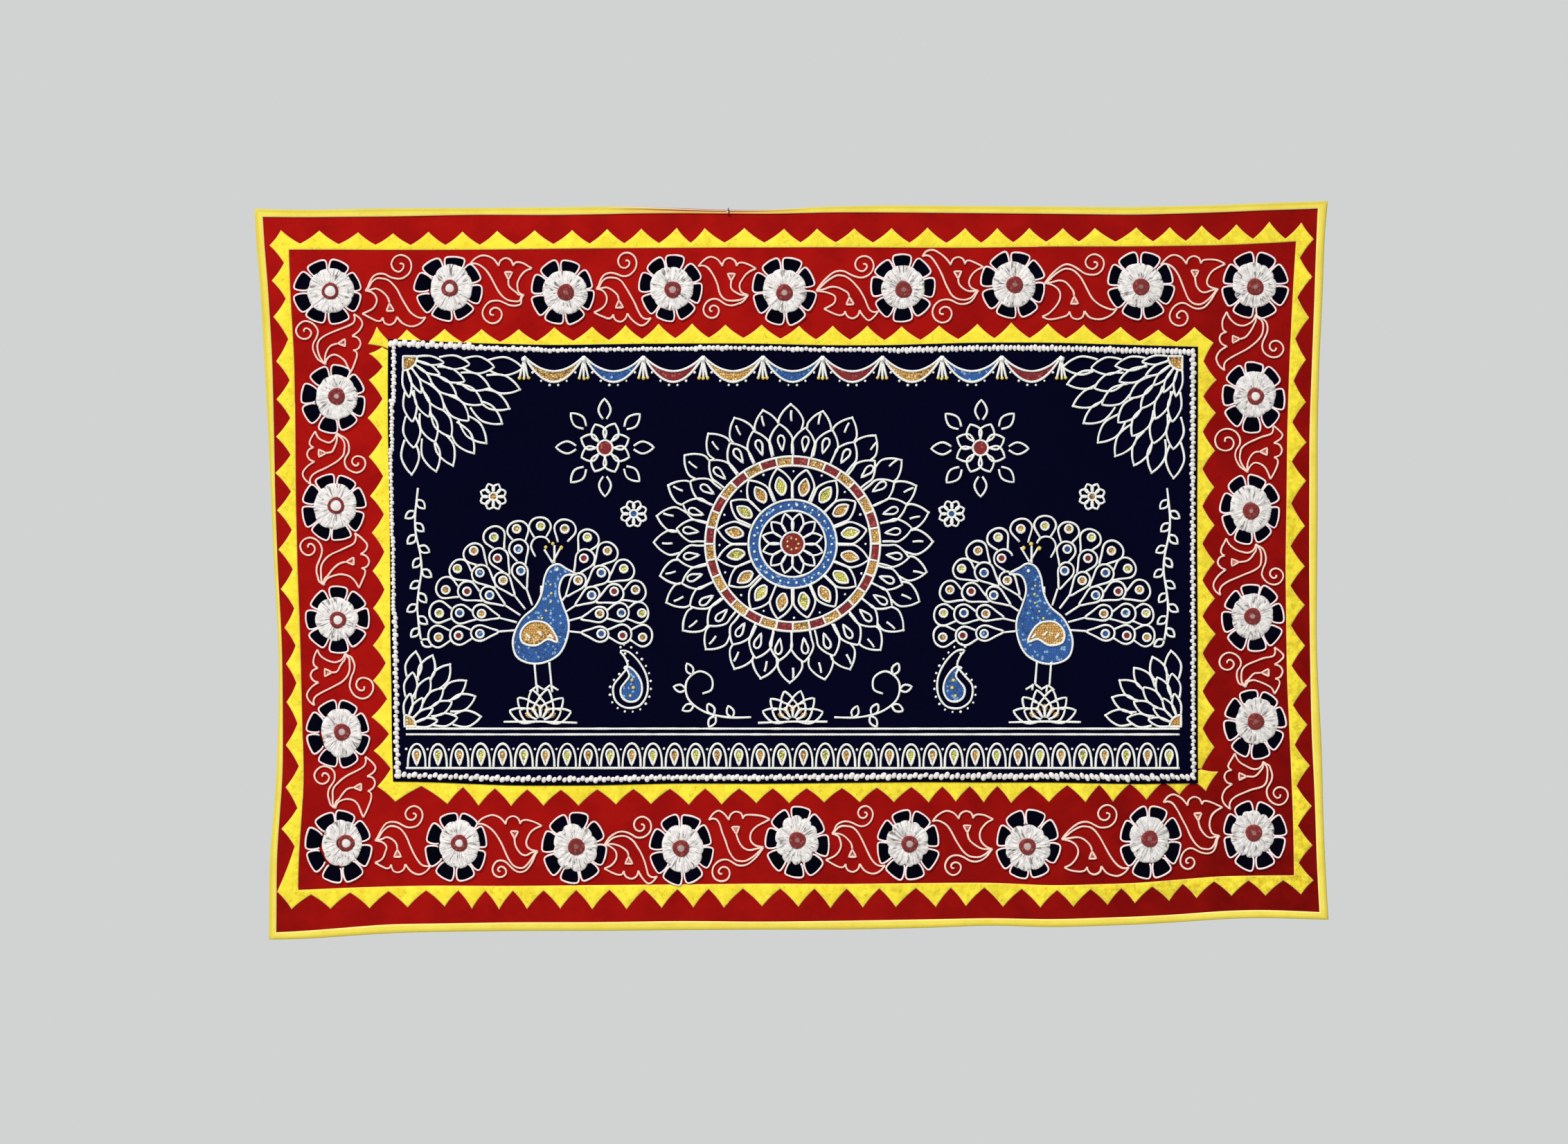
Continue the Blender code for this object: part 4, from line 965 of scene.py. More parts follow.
# How each flower was sewn: its size over the cords, its rosette's half sizes, how far the rosette
# and the button lie off the petals' middle, how deep the rosette's rim is scalloped, and the pale
# spot on the button: its radius and strength
FlowerLook = namedtuple("FlowerLook", "wide tall rosetteWide rosetteTall rosetteX rosetteZ "
                                      "scallop buttonX buttonZ spot pale")
flowerLooks = {
    "top_1": FlowerLook(95, 92, 32.5, 31.7, 4.0, 1.1, 0.9, 3.6, 0.7, 7.3, 1.0),
    "top_2": FlowerLook(96, 92, 29.6, 32.8, 3.2, 1.8, 0.8, 1.1, 1.1, 5.8, 0.9),
    "top_3": FlowerLook(90, 93, 31.5, 31, 3.1, 0.0, 1.0, 4.3, 0.0, 3.0, 0.1),
    "top_4": FlowerLook(89, 94, 30, 31.2, 0.9, -0.2, 0.9, 2.5, -2.2, 4.7, 0.4),
    "top_5": FlowerLook(90, 96, 30.6, 31.2, 0.7, 0.2, 1.3, 0.4, -2.5, 4.0, 0.4),
    "top_6": FlowerLook(90, 94, 30.6, 30.8, 0.0, 0.5, 0.9, 0.7, -3.2, 3.2, 0.15),
    "top_7": FlowerLook(91, 95.5, 30.8, 32, 0.5, 0.0, 0.8, 1.8, -0.4, 3.0, 0.15),
    "top_8": FlowerLook(94, 97, 31.9, 31.9, -0.5, -0.2, 0.9, 0.0, -2.2, 3.0, 0.15),
    "top_9": FlowerLook(94, 94, 31.2, 31.5, -1.6, 0.5, 1.5, -0.4, -2.5, 3.0, 0.2),
    "right_1": FlowerLook(87, 99, 29.6, 32.8, 1.8, 3.6, 1.0, 2.9, 1.1, 5.8, 1.0),
    "right_2": FlowerLook(84, 99, 29.4, 32.8, 0.2, 0.7, 1.1, 0.7, -2.2, 2.6, 0.3),
    "right_3": FlowerLook(88, 96.5, 28.9, 33, -1.1, 1.6, 0.8, -1.1, 1.8, 3.2, 0.3),
    "right_4": FlowerLook(88, 98, 29.8, 33, 3.1, 4.5, 1.2, 1.4, 4.0, 3.0, 0.1),
    "bottom_9": FlowerLook(89, 98.5, 30.5, 33, -3.1, 2.7, 2.0, -1.4, 4.7, 3.0, 0.15),
    "bottom_8": FlowerLook(86, 104, 28.9, 32.5, -1.4, 3.2, 1.8, -1.1, 4.3, 3.0, 0.1),
    "bottom_7": FlowerLook(90, 99, 32.1, 32.3, 0.0, -4.2, 1.9, -0.4, -2.5, 5.0, 0.5),
    "bottom_6": FlowerLook(89, 100, 29.2, 32.8, -0.7, 1.8, 2.5, 2.2, 1.1, 4.7, 0.45),
    "bottom_5": FlowerLook(89, 101, 29.8, 34.8, -0.2, 3.4, 3.0, 0.4, 3.6, 3.0, 0.15),
    "bottom_4": FlowerLook(89, 100, 29.2, 33.9, 1.1, 0.7, 1.4, -1.1, 1.1, 4.7, 0.35),
    "bottom_3": FlowerLook(90, 101, 31.5, 32.8, 1.3, 0.7, 2.7, 2.9, 2.2, 3.0, 0.1),
    "bottom_2": FlowerLook(88, 99, 29.2, 33.5, 3.6, 4.0, 1.3, 3.6, 5.4, 5.1, 0.9),
    "bottom_1": FlowerLook(93, 103, 27.9, 32.6, 4.2, 4.9, 1.0, 10.6, 5.1, 5.8, 1.0),
    "left_4": FlowerLook(89, 96, 28.3, 34.8, 4.9, 0.9, 1.1, 5.8, 2.5, 4.4, 0.5),
    "left_3": FlowerLook(90, 94, 30.6, 30.4, -2.2, 0.2, 1.6, 0.0, -1.1, 6.0, 0.95),
    "left_2": FlowerLook(91.5, 96.5, 30.3, 32.6, 1.8, 1.3, 1.0, 3.2, 2.5, 7.3, 1.0),
    "left_1": FlowerLook(90, 95, 29.8, 31.2, 4.2, 2.7, 1.0, 4.3, 4.0, 3.3, 0.45),
}


def wrapped(angle):  # the same angle between minus pi and pi
    return (angle + math.pi) % (2 * math.pi) - math.pi


def makeRosette(name, flower, look, number, wander):
    s = rosetteSettings
    steps = np.linspace(0, 1, s["rings"] + 1) ** 1.5  # closer rings at the turned rim
    radii = s["rimMm"] + (s["holeMm"] - s["rimMm"]) * steps
    bm = spinProfile([(radius, 0.0) for radius in radii], s["columns"])
    bmesh.ops.reverse_faces(bm, faces=[face for face in bm.faces if face.normal.y > 0])
    mesh = meshFrom("rosette." + name, bm)
    co = getVerts(mesh)
    radius = np.hypot(co[:, 0], co[:, 2])
    angle = np.arctan2(co[:, 2], co[:, 0])
    out = (radius - s["holeMm"]) / (s["rimMm"] - s["holeMm"])  # 0 at the button, 1 at the rim
    lobes = wander.choice([8, 9, 10, 12])
    start = wander.uniform(0, math.pi)
    lobeAngle = angle + 0.09 * np.sin(2 * angle + 4 * start) + 0.05 * np.sin(5 * angle + start)
    scallop = 1 - np.abs(np.sin(lobes * (lobeAngle - start) / 2)) ** 0.6
    scallop = scallop * (0.6 + 0.8 * np.sin(3 * angle + start * 5) ** 2)
    newRadius = radius - look.scallop * (1.5 * scallop - 0.2) * np.clip(out, 0, 1) ** 3
    newRadius += (0.6 * np.sin(2 * angle + start * 3) + 0.4 * np.sin(3 * angle + start)) * out
    rise = np.sqrt(1 - np.clip(out, 0, 1) ** 8)
    dome = s["rimHighMm"] + (s["crestMm"] - s["rimHighMm"]) * rise
    dome = dome - s["dipMm"] * np.clip(1 - out / 0.35, 0, 1) ** 1.5
    pleats = np.zeros(len(co))
    for count in (lobes, lobes + 5, 2 * lobes + 3, 31):
        lean = wander.uniform(-0.25, 0.25)
        pleats += wander.uniform(0.5, 1.0) * np.cos(count * (angle + lean * out)
                                                    + wander.uniform(0, 6.28))
    dome = dome + s["pleatMm"] * pleats * (0.35 + 0.65 * np.sin(np.clip(out, 0, 1) * math.pi))
    groove = np.zeros(len(co))
    for _ in range(s["creases"]):
        at = wander.uniform(-math.pi, math.pi) + wander.uniform(-0.12, 0.12) * out
        off = wrapped(angle - at) * radius / s["creaseWideMm"]
        begin, end = sorted((wander.uniform(-0.2, 0.5), wander.uniform(0.5, 1.2)))
        inside = np.clip((out - begin) * 8, 0, 1) * np.clip((end - out) * 8, 0, 1)
        groove = np.maximum(groove, np.exp(-off ** 2) * inside * wander.uniform(0.5, 1.0))
    dome = dome - s["creaseMm"] * groove
    offX = newRadius * np.cos(angle) * look.rosetteWide / s["rimMm"]
    offZ = newRadius * np.sin(angle) * look.rosetteTall / s["rimMm"]
    x = flower["middle"][0] + look.rosetteX + offX
    z = flower["middle"][1] + look.rosetteZ + offZ
    y = hungY(x, z) - s["baseMm"] - np.maximum(dome, 0.15)
    setVerts(mesh, np.column_stack([x, y, z]))
    # gathers fan out from the button, which is rarely in the very middle
    fan = mesh.attributes.new("gathers", "FLOAT_VECTOR", "POINT")
    fan.data.foreach_set("vector", np.column_stack([
        offX - (look.buttonX - look.rosetteX), np.zeros(len(co)),
        offZ - (look.buttonZ - look.rosetteZ)]).astype(np.float32).ravel())
    piece = finishMesh("rosette." + name, mesh, rosetteMaterial,
                       {"groove": groove, "scallop": scallop * np.clip(out, 0, 1) ** 6,
                        "cutFrom": np.full(len(co), 7.0 * number)})
    thicken(piece, s["thickMm"])
    return piece


# The button: a round of brick cotton worked over with stitches, or one with a pale middle
buttonSettings = {"columns": 36, "baseMm": 1.6, "thickMm": 0.5}
buttonProfile = [(11.9, 1.6), (11.7, 3.2), (10.7, 4.1), (8.8, 4.5), (6.8, 4.3), (5.7, 4.2),
                 (4.6, 4.7), (2.4, 5.0), (0.0, 5.05)]


def makeButton(name, flower, look, wander):
    bm = spinProfile([(radius, -high) for radius, high in buttonProfile],
                     buttonSettings["columns"])
    bmesh.ops.reverse_faces(bm, faces=[face for face in bm.faces if face.normal.y > 0.2])
    bmesh.ops.recalc_face_normals(bm, faces=bm.faces[:])
    top = min(bm.faces, key=lambda face: face.calc_center_median().y)
    if top.normal.y > 0:
        bmesh.ops.reverse_faces(bm, faces=bm.faces[:])
    mesh = meshFrom("button." + name, bm)
    co = getVerts(mesh)
    radius = np.hypot(co[:, 0], co[:, 2])
    angle = np.arctan2(co[:, 2], co[:, 0])
    co[:, [0, 2]] *= (1 + 0.03 * np.sin(3 * angle + wander.uniform(0, 6)))[:, None]
    x = co[:, 0] + flower["middle"][0] + look.buttonX
    z = co[:, 2] + flower["middle"][1] + look.buttonZ
    y = hungY(x, z) - buttonSettings["baseMm"] + co[:, 1]
    setVerts(mesh, np.column_stack([x, y, z]))
    piece = finishMesh("button." + name, mesh, buttonMaterial, {
        "fromSpot": radius - look.spot, "palePart": np.full(len(co), look.pale),
        "fromRim": buttonProfile[0][0] - radius})
    thicken(piece, buttonSettings["thickMm"])
    return piece


# Crumpled white cotton of the rosettes: the woven cotton with painted shade in thin dark gathers that
# fan out from the button, in grey dimples, in its creases and between its scallops
gatherSettings = {"around": 6.0, "alongMm": 34.0, "lineWide": 0.06, "lineShade": 0.85,
                  "dimpleMm": 2.6, "dimpleShade": 0.26}


def gatheredCotton():
    s = gatherSettings
    material = cotton["white"].copy()
    material.name = "gatheredWhiteCotton"
    tree = material.node_tree
    shader = tree.nodes["Principled BSDF"]
    colour = shader.inputs["Base Color"].links[0].from_socket
    place = next(node for node in tree.nodes if node.bl_idname == "ShaderNodeTexCoord")
    gathers = addNode(tree, "ShaderNodeAttribute", attribute_name="gathers")
    number = addNode(tree, "ShaderNodeAttribute", attribute_name="cutFrom")
    way = addNode(tree, "ShaderNodeVectorMath", {0: gathers.outputs["Vector"]},
                  operation="NORMALIZE")
    way = addNode(tree, "ShaderNodeVectorMath", {0: way.outputs["Vector"], "Scale": s["around"]},
                  operation="SCALE")
    radius = addNode(tree, "ShaderNodeVectorMath", {0: gathers.outputs["Vector"]},
                     operation="LENGTH")
    along = addNode(tree, "ShaderNodeMath", {
        0: radius.outputs["Value"], 1: 1 / s["alongMm"], 2: number.outputs["Fac"]},
        operation="MULTIPLY_ADD")
    along = addNode(tree, "ShaderNodeCombineXYZ", {"Y": along.outputs[0]})
    fan = addNode(tree, "ShaderNodeVectorMath", {
        0: way.outputs["Vector"], 1: along.outputs["Vector"]}, operation="ADD")
    folds = addNode(tree, "ShaderNodeTexNoise", {
        "Vector": fan.outputs["Vector"], "Scale": 1.0, "Detail": 1.0})
    apart = addNode(tree, "ShaderNodeMath", {0: folds.outputs["Fac"], 1: 0.5},
                    operation="SUBTRACT")
    apart = addNode(tree, "ShaderNodeMath", {0: apart.outputs[0]}, operation="ABSOLUTE")
    line = addNode(tree, "ShaderNodeMapRange", {
        "Value": apart.outputs[0], "From Max": s["lineWide"], "To Min": s["lineShade"],
        "To Max": 0.0}, interpolation_type="SMOOTHSTEP")
    broken = addNode(tree, "ShaderNodeTexNoise", {
        "Vector": place.outputs["Object"], "Scale": noiseScale(9.0), "Detail": 2.0})
    broken = addNode(tree, "ShaderNodeMapRange", {
        "Value": broken.outputs["Fac"], "From Min": 0.43, "From Max": 0.55})
    line = addNode(tree, "ShaderNodeMath", {0: line.outputs["Result"], 1: broken.outputs["Result"]},
                   operation="MULTIPLY")
    dimples = addNode(tree, "ShaderNodeTexNoise", {
        "Vector": place.outputs["Object"], "Scale": noiseScale(s["dimpleMm"]), "Detail": 2.0,
        "Roughness": 0.6})
    dimples = addNode(tree, "ShaderNodeMapRange", {
        "Value": dimples.outputs["Fac"], "From Min": 0.58, "From Max": 0.7,
        "To Max": s["dimpleShade"]}, interpolation_type="SMOOTHSTEP")
    groove = addNode(tree, "ShaderNodeAttribute", attribute_name="groove")
    groove = addNode(tree, "ShaderNodeMapRange", {
        "Value": groove.outputs["Fac"], "From Min": 0.3, "From Max": 0.95, "To Max": 0.6},
        interpolation_type="SMOOTHSTEP")
    rim = addNode(tree, "ShaderNodeAttribute", attribute_name="scallop")
    rim = addNode(tree, "ShaderNodeMapRange", {
        "Value": rim.outputs["Fac"], "From Min": 0.3, "From Max": 1.0, "To Max": 0.6})
    # painted shade in dimples, creases, between the scallops and along the gathers
    for share, shade in ((dimples.outputs["Result"], "#AFA8A6"), (groove.outputs["Result"], "#8C8684"),
                         (rim.outputs["Result"], "#ACA6A4"), (line.outputs[0], "#4E4440")):
        colour = addNode(tree, "ShaderNodeMix", {0: share, 6: colour, 7: hexColour(shade)},
                         data_type="RGBA").outputs[2]
    tree.links.new(colour, shader.inputs["Base Color"])
    return material


# The button's brick thread with a lighter rim, and its pale spot by distance from the middle
def buttonThread():
    material = stitch["button"].copy()
    material.name = "buttonThread"
    tree = material.node_tree
    shader = tree.nodes["Principled BSDF"]
    below = shader.inputs["Base Color"].links[0].from_socket
    fromRim = addNode(tree, "ShaderNodeAttribute", attribute_name="fromRim")
    rim = addNode(tree, "ShaderNodeMapRange", {
        "Value": fromRim.outputs["Fac"], "From Max": 1.1, "To Min": 0.7, "To Max": 0.0})
    ringed = addNode(tree, "ShaderNodeMix", {
        0: rim.outputs["Result"], 6: below, 7: hexColour("#A83E2C")}, data_type="RGBA")
    apart = addNode(tree, "ShaderNodeAttribute", attribute_name="fromSpot")
    pale = addNode(tree, "ShaderNodeAttribute", attribute_name="palePart")
    inside = addNode(tree, "ShaderNodeMapRange", {
        "Value": apart.outputs["Fac"], "From Min": -0.8, "From Max": 0.8, "To Min": 1.0,
        "To Max": 0.0}, interpolation_type="SMOOTHSTEP")
    share = addNode(tree, "ShaderNodeMath", {0: inside.outputs["Result"], 1: pale.outputs["Fac"]},
                    operation="MULTIPLY")
    whole = addNode(tree, "ShaderNodeMix", {
        0: share.outputs[0], 6: ringed.outputs[2], 7: hexColour("#E6E0DC")}, data_type="RGBA")
    tree.links.new(whole.outputs[2], shader.inputs["Base Color"])
    return material


rosetteMaterial = gatheredCotton()
buttonMaterial = buttonThread()
for number, (name, flower) in enumerate(flowers.items()):
    petalWander = random.Random(100 + number)
    cloths, cords = petalOutlines(flower, flowerLooks[name], petalWander)
    petals = cutCloth("petals." + name, [[outline] for outline in cloths], cotton["petal"],
                      petalSettings["highMm"], petalSettings["thickMm"], edge=1.2, cell=8.0)
    stand(petals, ["petals_" + name])
    strokes = [(outline[2:-2], False) for outline in cords]  # from root to root, round the petal
    outlineCord = layCords("petalCord." + name, strokes, cord["petal"], petalSettings["cordMm"],
                           petalSettings["cordHighMm"], step=2.4, seed=number)
    stand(outlineCord)
    rosette = makeRosette(name, flower, flowerLooks[name], number,
                          np.random.default_rng(200 + number))
    stand(rosette, ["rosette_" + name])
    button = makeButton(name, flower, flowerLooks[name], petalWander)
    stand(button)
print("flowers made:", len(flowers))


# The vine motif between each two flowers, drawn in its own frame: it springs from the origin
# towards +x, its scroll to the left of that way and its bell flower to the right

vineSettings = {"cordMm": 2.8, "fromMiddleMm": 51.0, "wanderMm": 0.3, "stepMm": 2.8,
                "curlMm": 11.2, "curlReachMm": 17.0}

# The motif as most are sewn: x runs from the first flower to the second, y to the left of that
vineScroll = [(-2, 6), (1.4, 10.6), (5.8, 16.6), (12.8, 21.8), (20.8, 24.2), (28.8, 23.0),
              (35.8, 19.2), (42.8, 15.8), (49.8, 14.8), (56.8, 17.2), (62.2, 23.2), (64.2, 31.2),
              (61.0, 38.6), (53.6, 42.6), (45.8, 40.4), (41.8, 33.6), (44.0, 27.0), (50.2, 24.6),
              (55.2, 28.2), (54.8, 32.6), (51.2, 33.0)]
vineLeaf = [(-2, 6), (2.4, 9.2), (8.8, 14.4), (16.8, 17.6), (24.8, 17.6), (31.8, 15.4),
            (38.8, 9.4), (44.8, 1.2), (49.8, -7.8), (55.8, -18.8), (61.8, -26.8), (68.8, -31.8),
            (75.8, -33.6), (81.8, -32.4)]
vineHem = [
    [(81.8, -32.4), (75.8, -39.8), (67.8, -45.4), (60.8, -47.2), (52.8, -44.8), (47.8, -39.8),
     (45.2, -35.6)],
    [(45.2, -35.6), (42.8, -42.8), (35.8, -46.8), (28.8, -44.6), (25.8, -39.8), (25.2, -36.4)],
    [(25.2, -36.4), (22.6, -40.8), (16.8, -42.2), (8.8, -40.8), (2.8, -38.4), (-3.2, -35.2)],
]
vineBellSide = [(-3.2, -35.2), (4.8, -31.4), (10.8, -25.8), (14.4, -18.8), (15.4, -10.8),
                (12.8, -3.8), (7.8, 2.2), (1.8, 5.2), (-2, 6)]
vineStalk = [(-2, 6), (6.8, 6.6), (13.8, 5.4), (20.8, 2.0), (27.8, -4.0), (31.4, -9.6),
             (32.8, -16.0)]
vineBud = [(32.8, -16.0), (28.0, -26.8), (38.8, -26.8)]
vineUsual = [(-2, 6), (21, 18), (53, 33.6), (33.8, -27.2), (-3.2, -35.2), (35.2, -36.1),
             (81.8, -32.4)]

# Each motif springs from its first flower and reaches towards its second. Then its root, the top
# of its leaf, the middle of its curl and how wide that is, the foot of its bud, the near end of
# its bell, the middle of its hem and the leaf's tip.
Vine = namedtuple("Vine", "start end root top curl curlMm bud bell hem tip")
vines = [
    Vine("top_1", "top_2", (1.6, 0.2), (21.6, 17.2), (52.3, 37.7), 14.7,
         (36.6, -29.4), (-3.4, -31.8), (33.3, -37.4), (84.6, -38.8)),
    Vine("top_3", "top_2", (3, 5), (15, 14.6), (46.4, 35.3), 14.0,
         (25.4, -26.6), (-7, -32.4), (30.6, -34.6), (80, -36)),
    Vine("top_3", "top_4", (-4, 3), (15.6, 18.4), (40.5, 41.7), 13.5,
         (28.2, -25), (-8.4, -29.6), (27.6, -33), (70.6, -40.4)),
    Vine("top_5", "top_4", (-1.2, 7), (21.8, 15.6), (49.8, 31.3), 11.0,
         (23.2, -22.4), (-11.2, -30.4), (26.8, -33.8), (69.8, -31.6)),
    Vine("top_5", "top_6", (-6, -1), (26, 20), (62.7, 35.2), 13.3,
         (41, -22), (4, -26.6), (44.3, -30), (80, -32)),
    Vine("top_7", "top_6", (-2, 7), (18.8, 19.4), (49.4, 39.5), 14.0,
         (26.8, -21), (-10.2, -25.6), (24.3, -30), (74.8, -43)),
    Vine("top_7", "top_8", (-7.4, 2), (23.6, 22.6), (63.2, 32.7), 13.0,
         (34.6, -26.6), (-10.4, -44.6), (39.1, -37.5), (93.6, -33)),
    Vine("top_9", "top_8", (1, 5.2), (28, 26.6), (56, 46.4), 13.0,
         (34, -21.4), (-9, -29.8), (35, -29.8), (81, -28.8)),
    Vine("bottom_1", "bottom_2", (-0.2, 8.6), (22.8, 28.8), (54.6, 47.2), 12.2,
         (31.8, -14.4), (-0.2, -22.4), (31.5, -25.6), (77.8, -26.4)),
    Vine("bottom_3", "bottom_2", (-0.4, 4.8), (23.6, 28.2), (52.9, 34), 9.3,
         (33, -23.2), (-5.4, -30.8), (35.1, -33.3), (85.6, -31.4)),
    Vine("bottom_3", "bottom_4", (-9, 5.2), (15, 17.6), (44, 34.4), 12.6,
         (25.6, -21.8), (-9, -28.2), (29.3, -31.4), (65, -38.8)),
    Vine("bottom_5", "bottom_4", (-4, 4), (26, 22), (57.5, 38.5), 12.5,
         (34.6, -27), (-15, -34.6), (31.3, -37.6), (70, -38.6)),
    Vine("bottom_5", "bottom_6", (-2.4, 13.6), (15.6, 24.8), (43.7, 44.5), 10.3,
         (27.6, -18.8), (-10.4, -23.2), (26.6, -28.8), (72.6, -29.4)),
    Vine("bottom_7", "bottom_6", (-2, 6), (21, 18), (53, 33.6), 11.2,
         (33.8, -27.2), (-3.2, -35.2), (35.2, -36.1), (81.8, -32.4)),
    Vine("bottom_7", "bottom_8", (-3.2, 6.4), (27.8, 24), (61.5, 42.3), 13.3,
         (39.8, -21.6), (-0.2, -33), (41.5, -33.8), (89.8, -35)),
    Vine("bottom_9", "bottom_8", (-2.4, -3), (15.6, 14.6), (44.3, 33.2), 9.7,
         (26.6, -36), (-8.4, -42.4), (31.1, -49.3), (73.6, -54)),
    Vine("left_1", "top_1", (-2, 8.6), (21, 18.6), (47, 36.5), 13.0,
         (28, -20.8), (-15, -25.4), (24.3, -31.6), (66, -34.8)),
    Vine("left_1", "left_2", (-4.2, 4), (15.8, 15.4), (39.3, 34.9), 12.1,
         (24.8, -22), (-6.2, -26), (26.1, -25.5), (68, -32)),
    Vine("left_3", "left_2", (-3, 17.6), (16, 21.4), (52.3, 38.8), 12.7,
         (30, -25.4), (-9, -31), (27.5, -36.3), (68, -28)),
    Vine("left_3", "left_4", (-3.2, 9.6), (13.8, 16.8), (45.5, 37.5), 15.3,
         (23.8, -18.8), (-8.2, -28.8), (28.5, -27.1), (69.8, -32.8)),
    Vine("bottom_1", "left_4", (2.6, 4.2), (21.6, 8.2), (49, 22.6), 13.0,
         (31.6, -32.4), (-10.4, -34.4), (38.9, -40.8), (74.6, -37.8)),
    Vine("top_9", "right_1", (-10.2, 1.2), (7.8, 12.2), (37.4, 31.2), 12.0,
         (25.8, -30.8), (-13.2, -39.2), (24.1, -37.3), (68.8, -40.4)),
    Vine("right_2", "right_1", (0.6, 5), (24, 16.4), (45.2, 38.3), 16.8,
         (31, -21.6), (-8, -27), (33, -31.3), (68, -28)),
    Vine("right_2", "right_3", (-2.4, 6.4), (16.6, 14), (43.1, 34.5), 11.5,
         (23, -28.4), (-11.4, -34.4), (21.1, -36), (67.6, -44.6)),
    Vine("right_4", "right_3", (1, 11.6), (16, 17.6), (36.7, 37.9), 12.7,
         (21.6, -21.4), (-9, -28.8), (22, -29.3), (56, -29.4)),
    Vine("right_4", "bottom_9", (1.2, 12), (19.8, 18.4), (49, 36.7), 12.8,
         (22.4, -21.6), (-10.2, -27.4), (22, -31.8), (67.8, -33.6)),
]


def vineStrokes(vine, wander):
    s = vineSettings
    start, end = flowers[vine.start]["middle"], flowers[vine.end]["middle"]
    along = (end - start) / np.hypot(*(end - start))
    left = np.array([-along[1], along[0]])
    usual = np.array(vineUsual, float)
    sewn = np.array([vine.root, vine.top, vine.curl, vine.bud, vine.bell, vine.hem, vine.tip])
    strokes = []
    for points, closed in [(vineScroll, False), (vineLeaf, False),
                           *((part, False) for part in vineHem), (vineBellSide, False),
                           (vineStalk, False), (vineBud, True)]:
        points = np.array(points, float)
        gone = points[:, None, :] - usual[None]
        near = 1 / (np.sum(gone ** 2, axis=2) + 4.0) ** 1.5  # a point goes with the nearest marks
        shift = near @ (sewn - usual) / near.sum(axis=1)[:, None]
        off = points - usual[2]
        grown = (vine.curlMm / s["curlMm"] - 1) * np.exp(
            -(np.hypot(off[:, 0], off[:, 1]) / s["curlReachMm"]) ** 4)
        moved = points + shift + off * grown[:, None]
        moved[1:-1] += [(wander.uniform(-1, 1) * s["wanderMm"], wander.uniform(-1, 1) * s["wanderMm"])
                        for _ in points[1:-1]]
        place = start + along * (s["fromMiddleMm"] + moved[:, :1]) + left * moved[:, 1:]
        strokes.append((place if closed else smoothPath(place), closed))
    return strokes


vineBuds = []
for number, vine in enumerate(vines):
    strokes = vineStrokes(vine, random.Random(400 + number))
    piece = layCords("vine." + vine.start + "." + vine.end, strokes, cord["cream"],
                     vineSettings["cordMm"], 0.0, step=vineSettings["stepMm"], seed=50 + number)
    stand(piece)
    bud = strokes[-1][0]
    vineBuds.append([bud if loopArea(bud) > 0 else bud[::-1]])
budFilling = cutCloth("vineBuds", vineBuds, stitch["bud"], 0.9, 0.0, edge=0.8, drop=0.4)
stand(budFilling)
print("vines made:", len(vines))


# The ruched trim round the centre: one row of small puffs. Each stretch of a side, from one share
# of its length to another, has its own pitch and size, and leans its puffs its own way.
TrimRun = namedtuple("TrimRun", "start end insetMm pitchMm longMm wideMm leanDeg swayMm")
trimRuns = {
    "top": [TrimRun(0.0, 0.1, 5.2, 6.4, 4.7, 4.1, 10, 1.2),
            TrimRun(0.1, 0.19, 6.8, 5.6, 3.8, 3.5, -25, 0.6),
            TrimRun(0.19, 0.38, 7.6, 5.6, 3.2, 3.3, -25, 0.5),
            TrimRun(0.38, 0.62, 6.6, 6.2, 3.4, 3.5, -30, 0.5),
            TrimRun(0.62, 1.0, 7.8, 5.8, 4.4, 3.1, 4, 0.5)],
    "right": [TrimRun(0.0, 0.3, 6.9, 6.0, 4.0, 3.4, -20, 0.8),
              TrimRun(0.3, 1.0, 6.4, 5.2, 3.3, 3.0, 12, 0.9)],
    "bottom": [TrimRun(0.0, 0.22, 9.0, 7.2, 4.5, 3.6, 35, 1.0),
               TrimRun(0.22, 0.55, 8.6, 6.0, 4.1, 3.5, 25, 1.0),
               TrimRun(0.55, 0.8, 8.6, 7.4, 4.9, 3.7, 32, 0.9),
               TrimRun(0.8, 1.0, 9.0, 7.0, 5.2, 3.4, -34, 0.9)],
    "left": [TrimRun(0.0, 0.14, 8.2, 4.8, 3.4, 2.9, 25, 0.6),
             TrimRun(0.14, 0.25, 5.6, 4.8, 3.2, 2.9, 25, 0.5),
             TrimRun(0.25, 0.45, 3.2, 5.0, 3.0, 2.9, 25, 0.4),
             TrimRun(0.45, 0.62, 4.6, 5.2, 3.1, 3.0, 12, 0.4),
             TrimRun(0.62, 1.0, 6.8, 6.0, 4.0, 3.3, 25, 0.9)],
}
trimSettings = {"highMm": 2.1, "sizeWander": 0.13, "placeWanderMm": 0.5, "leanWander": 0.3}


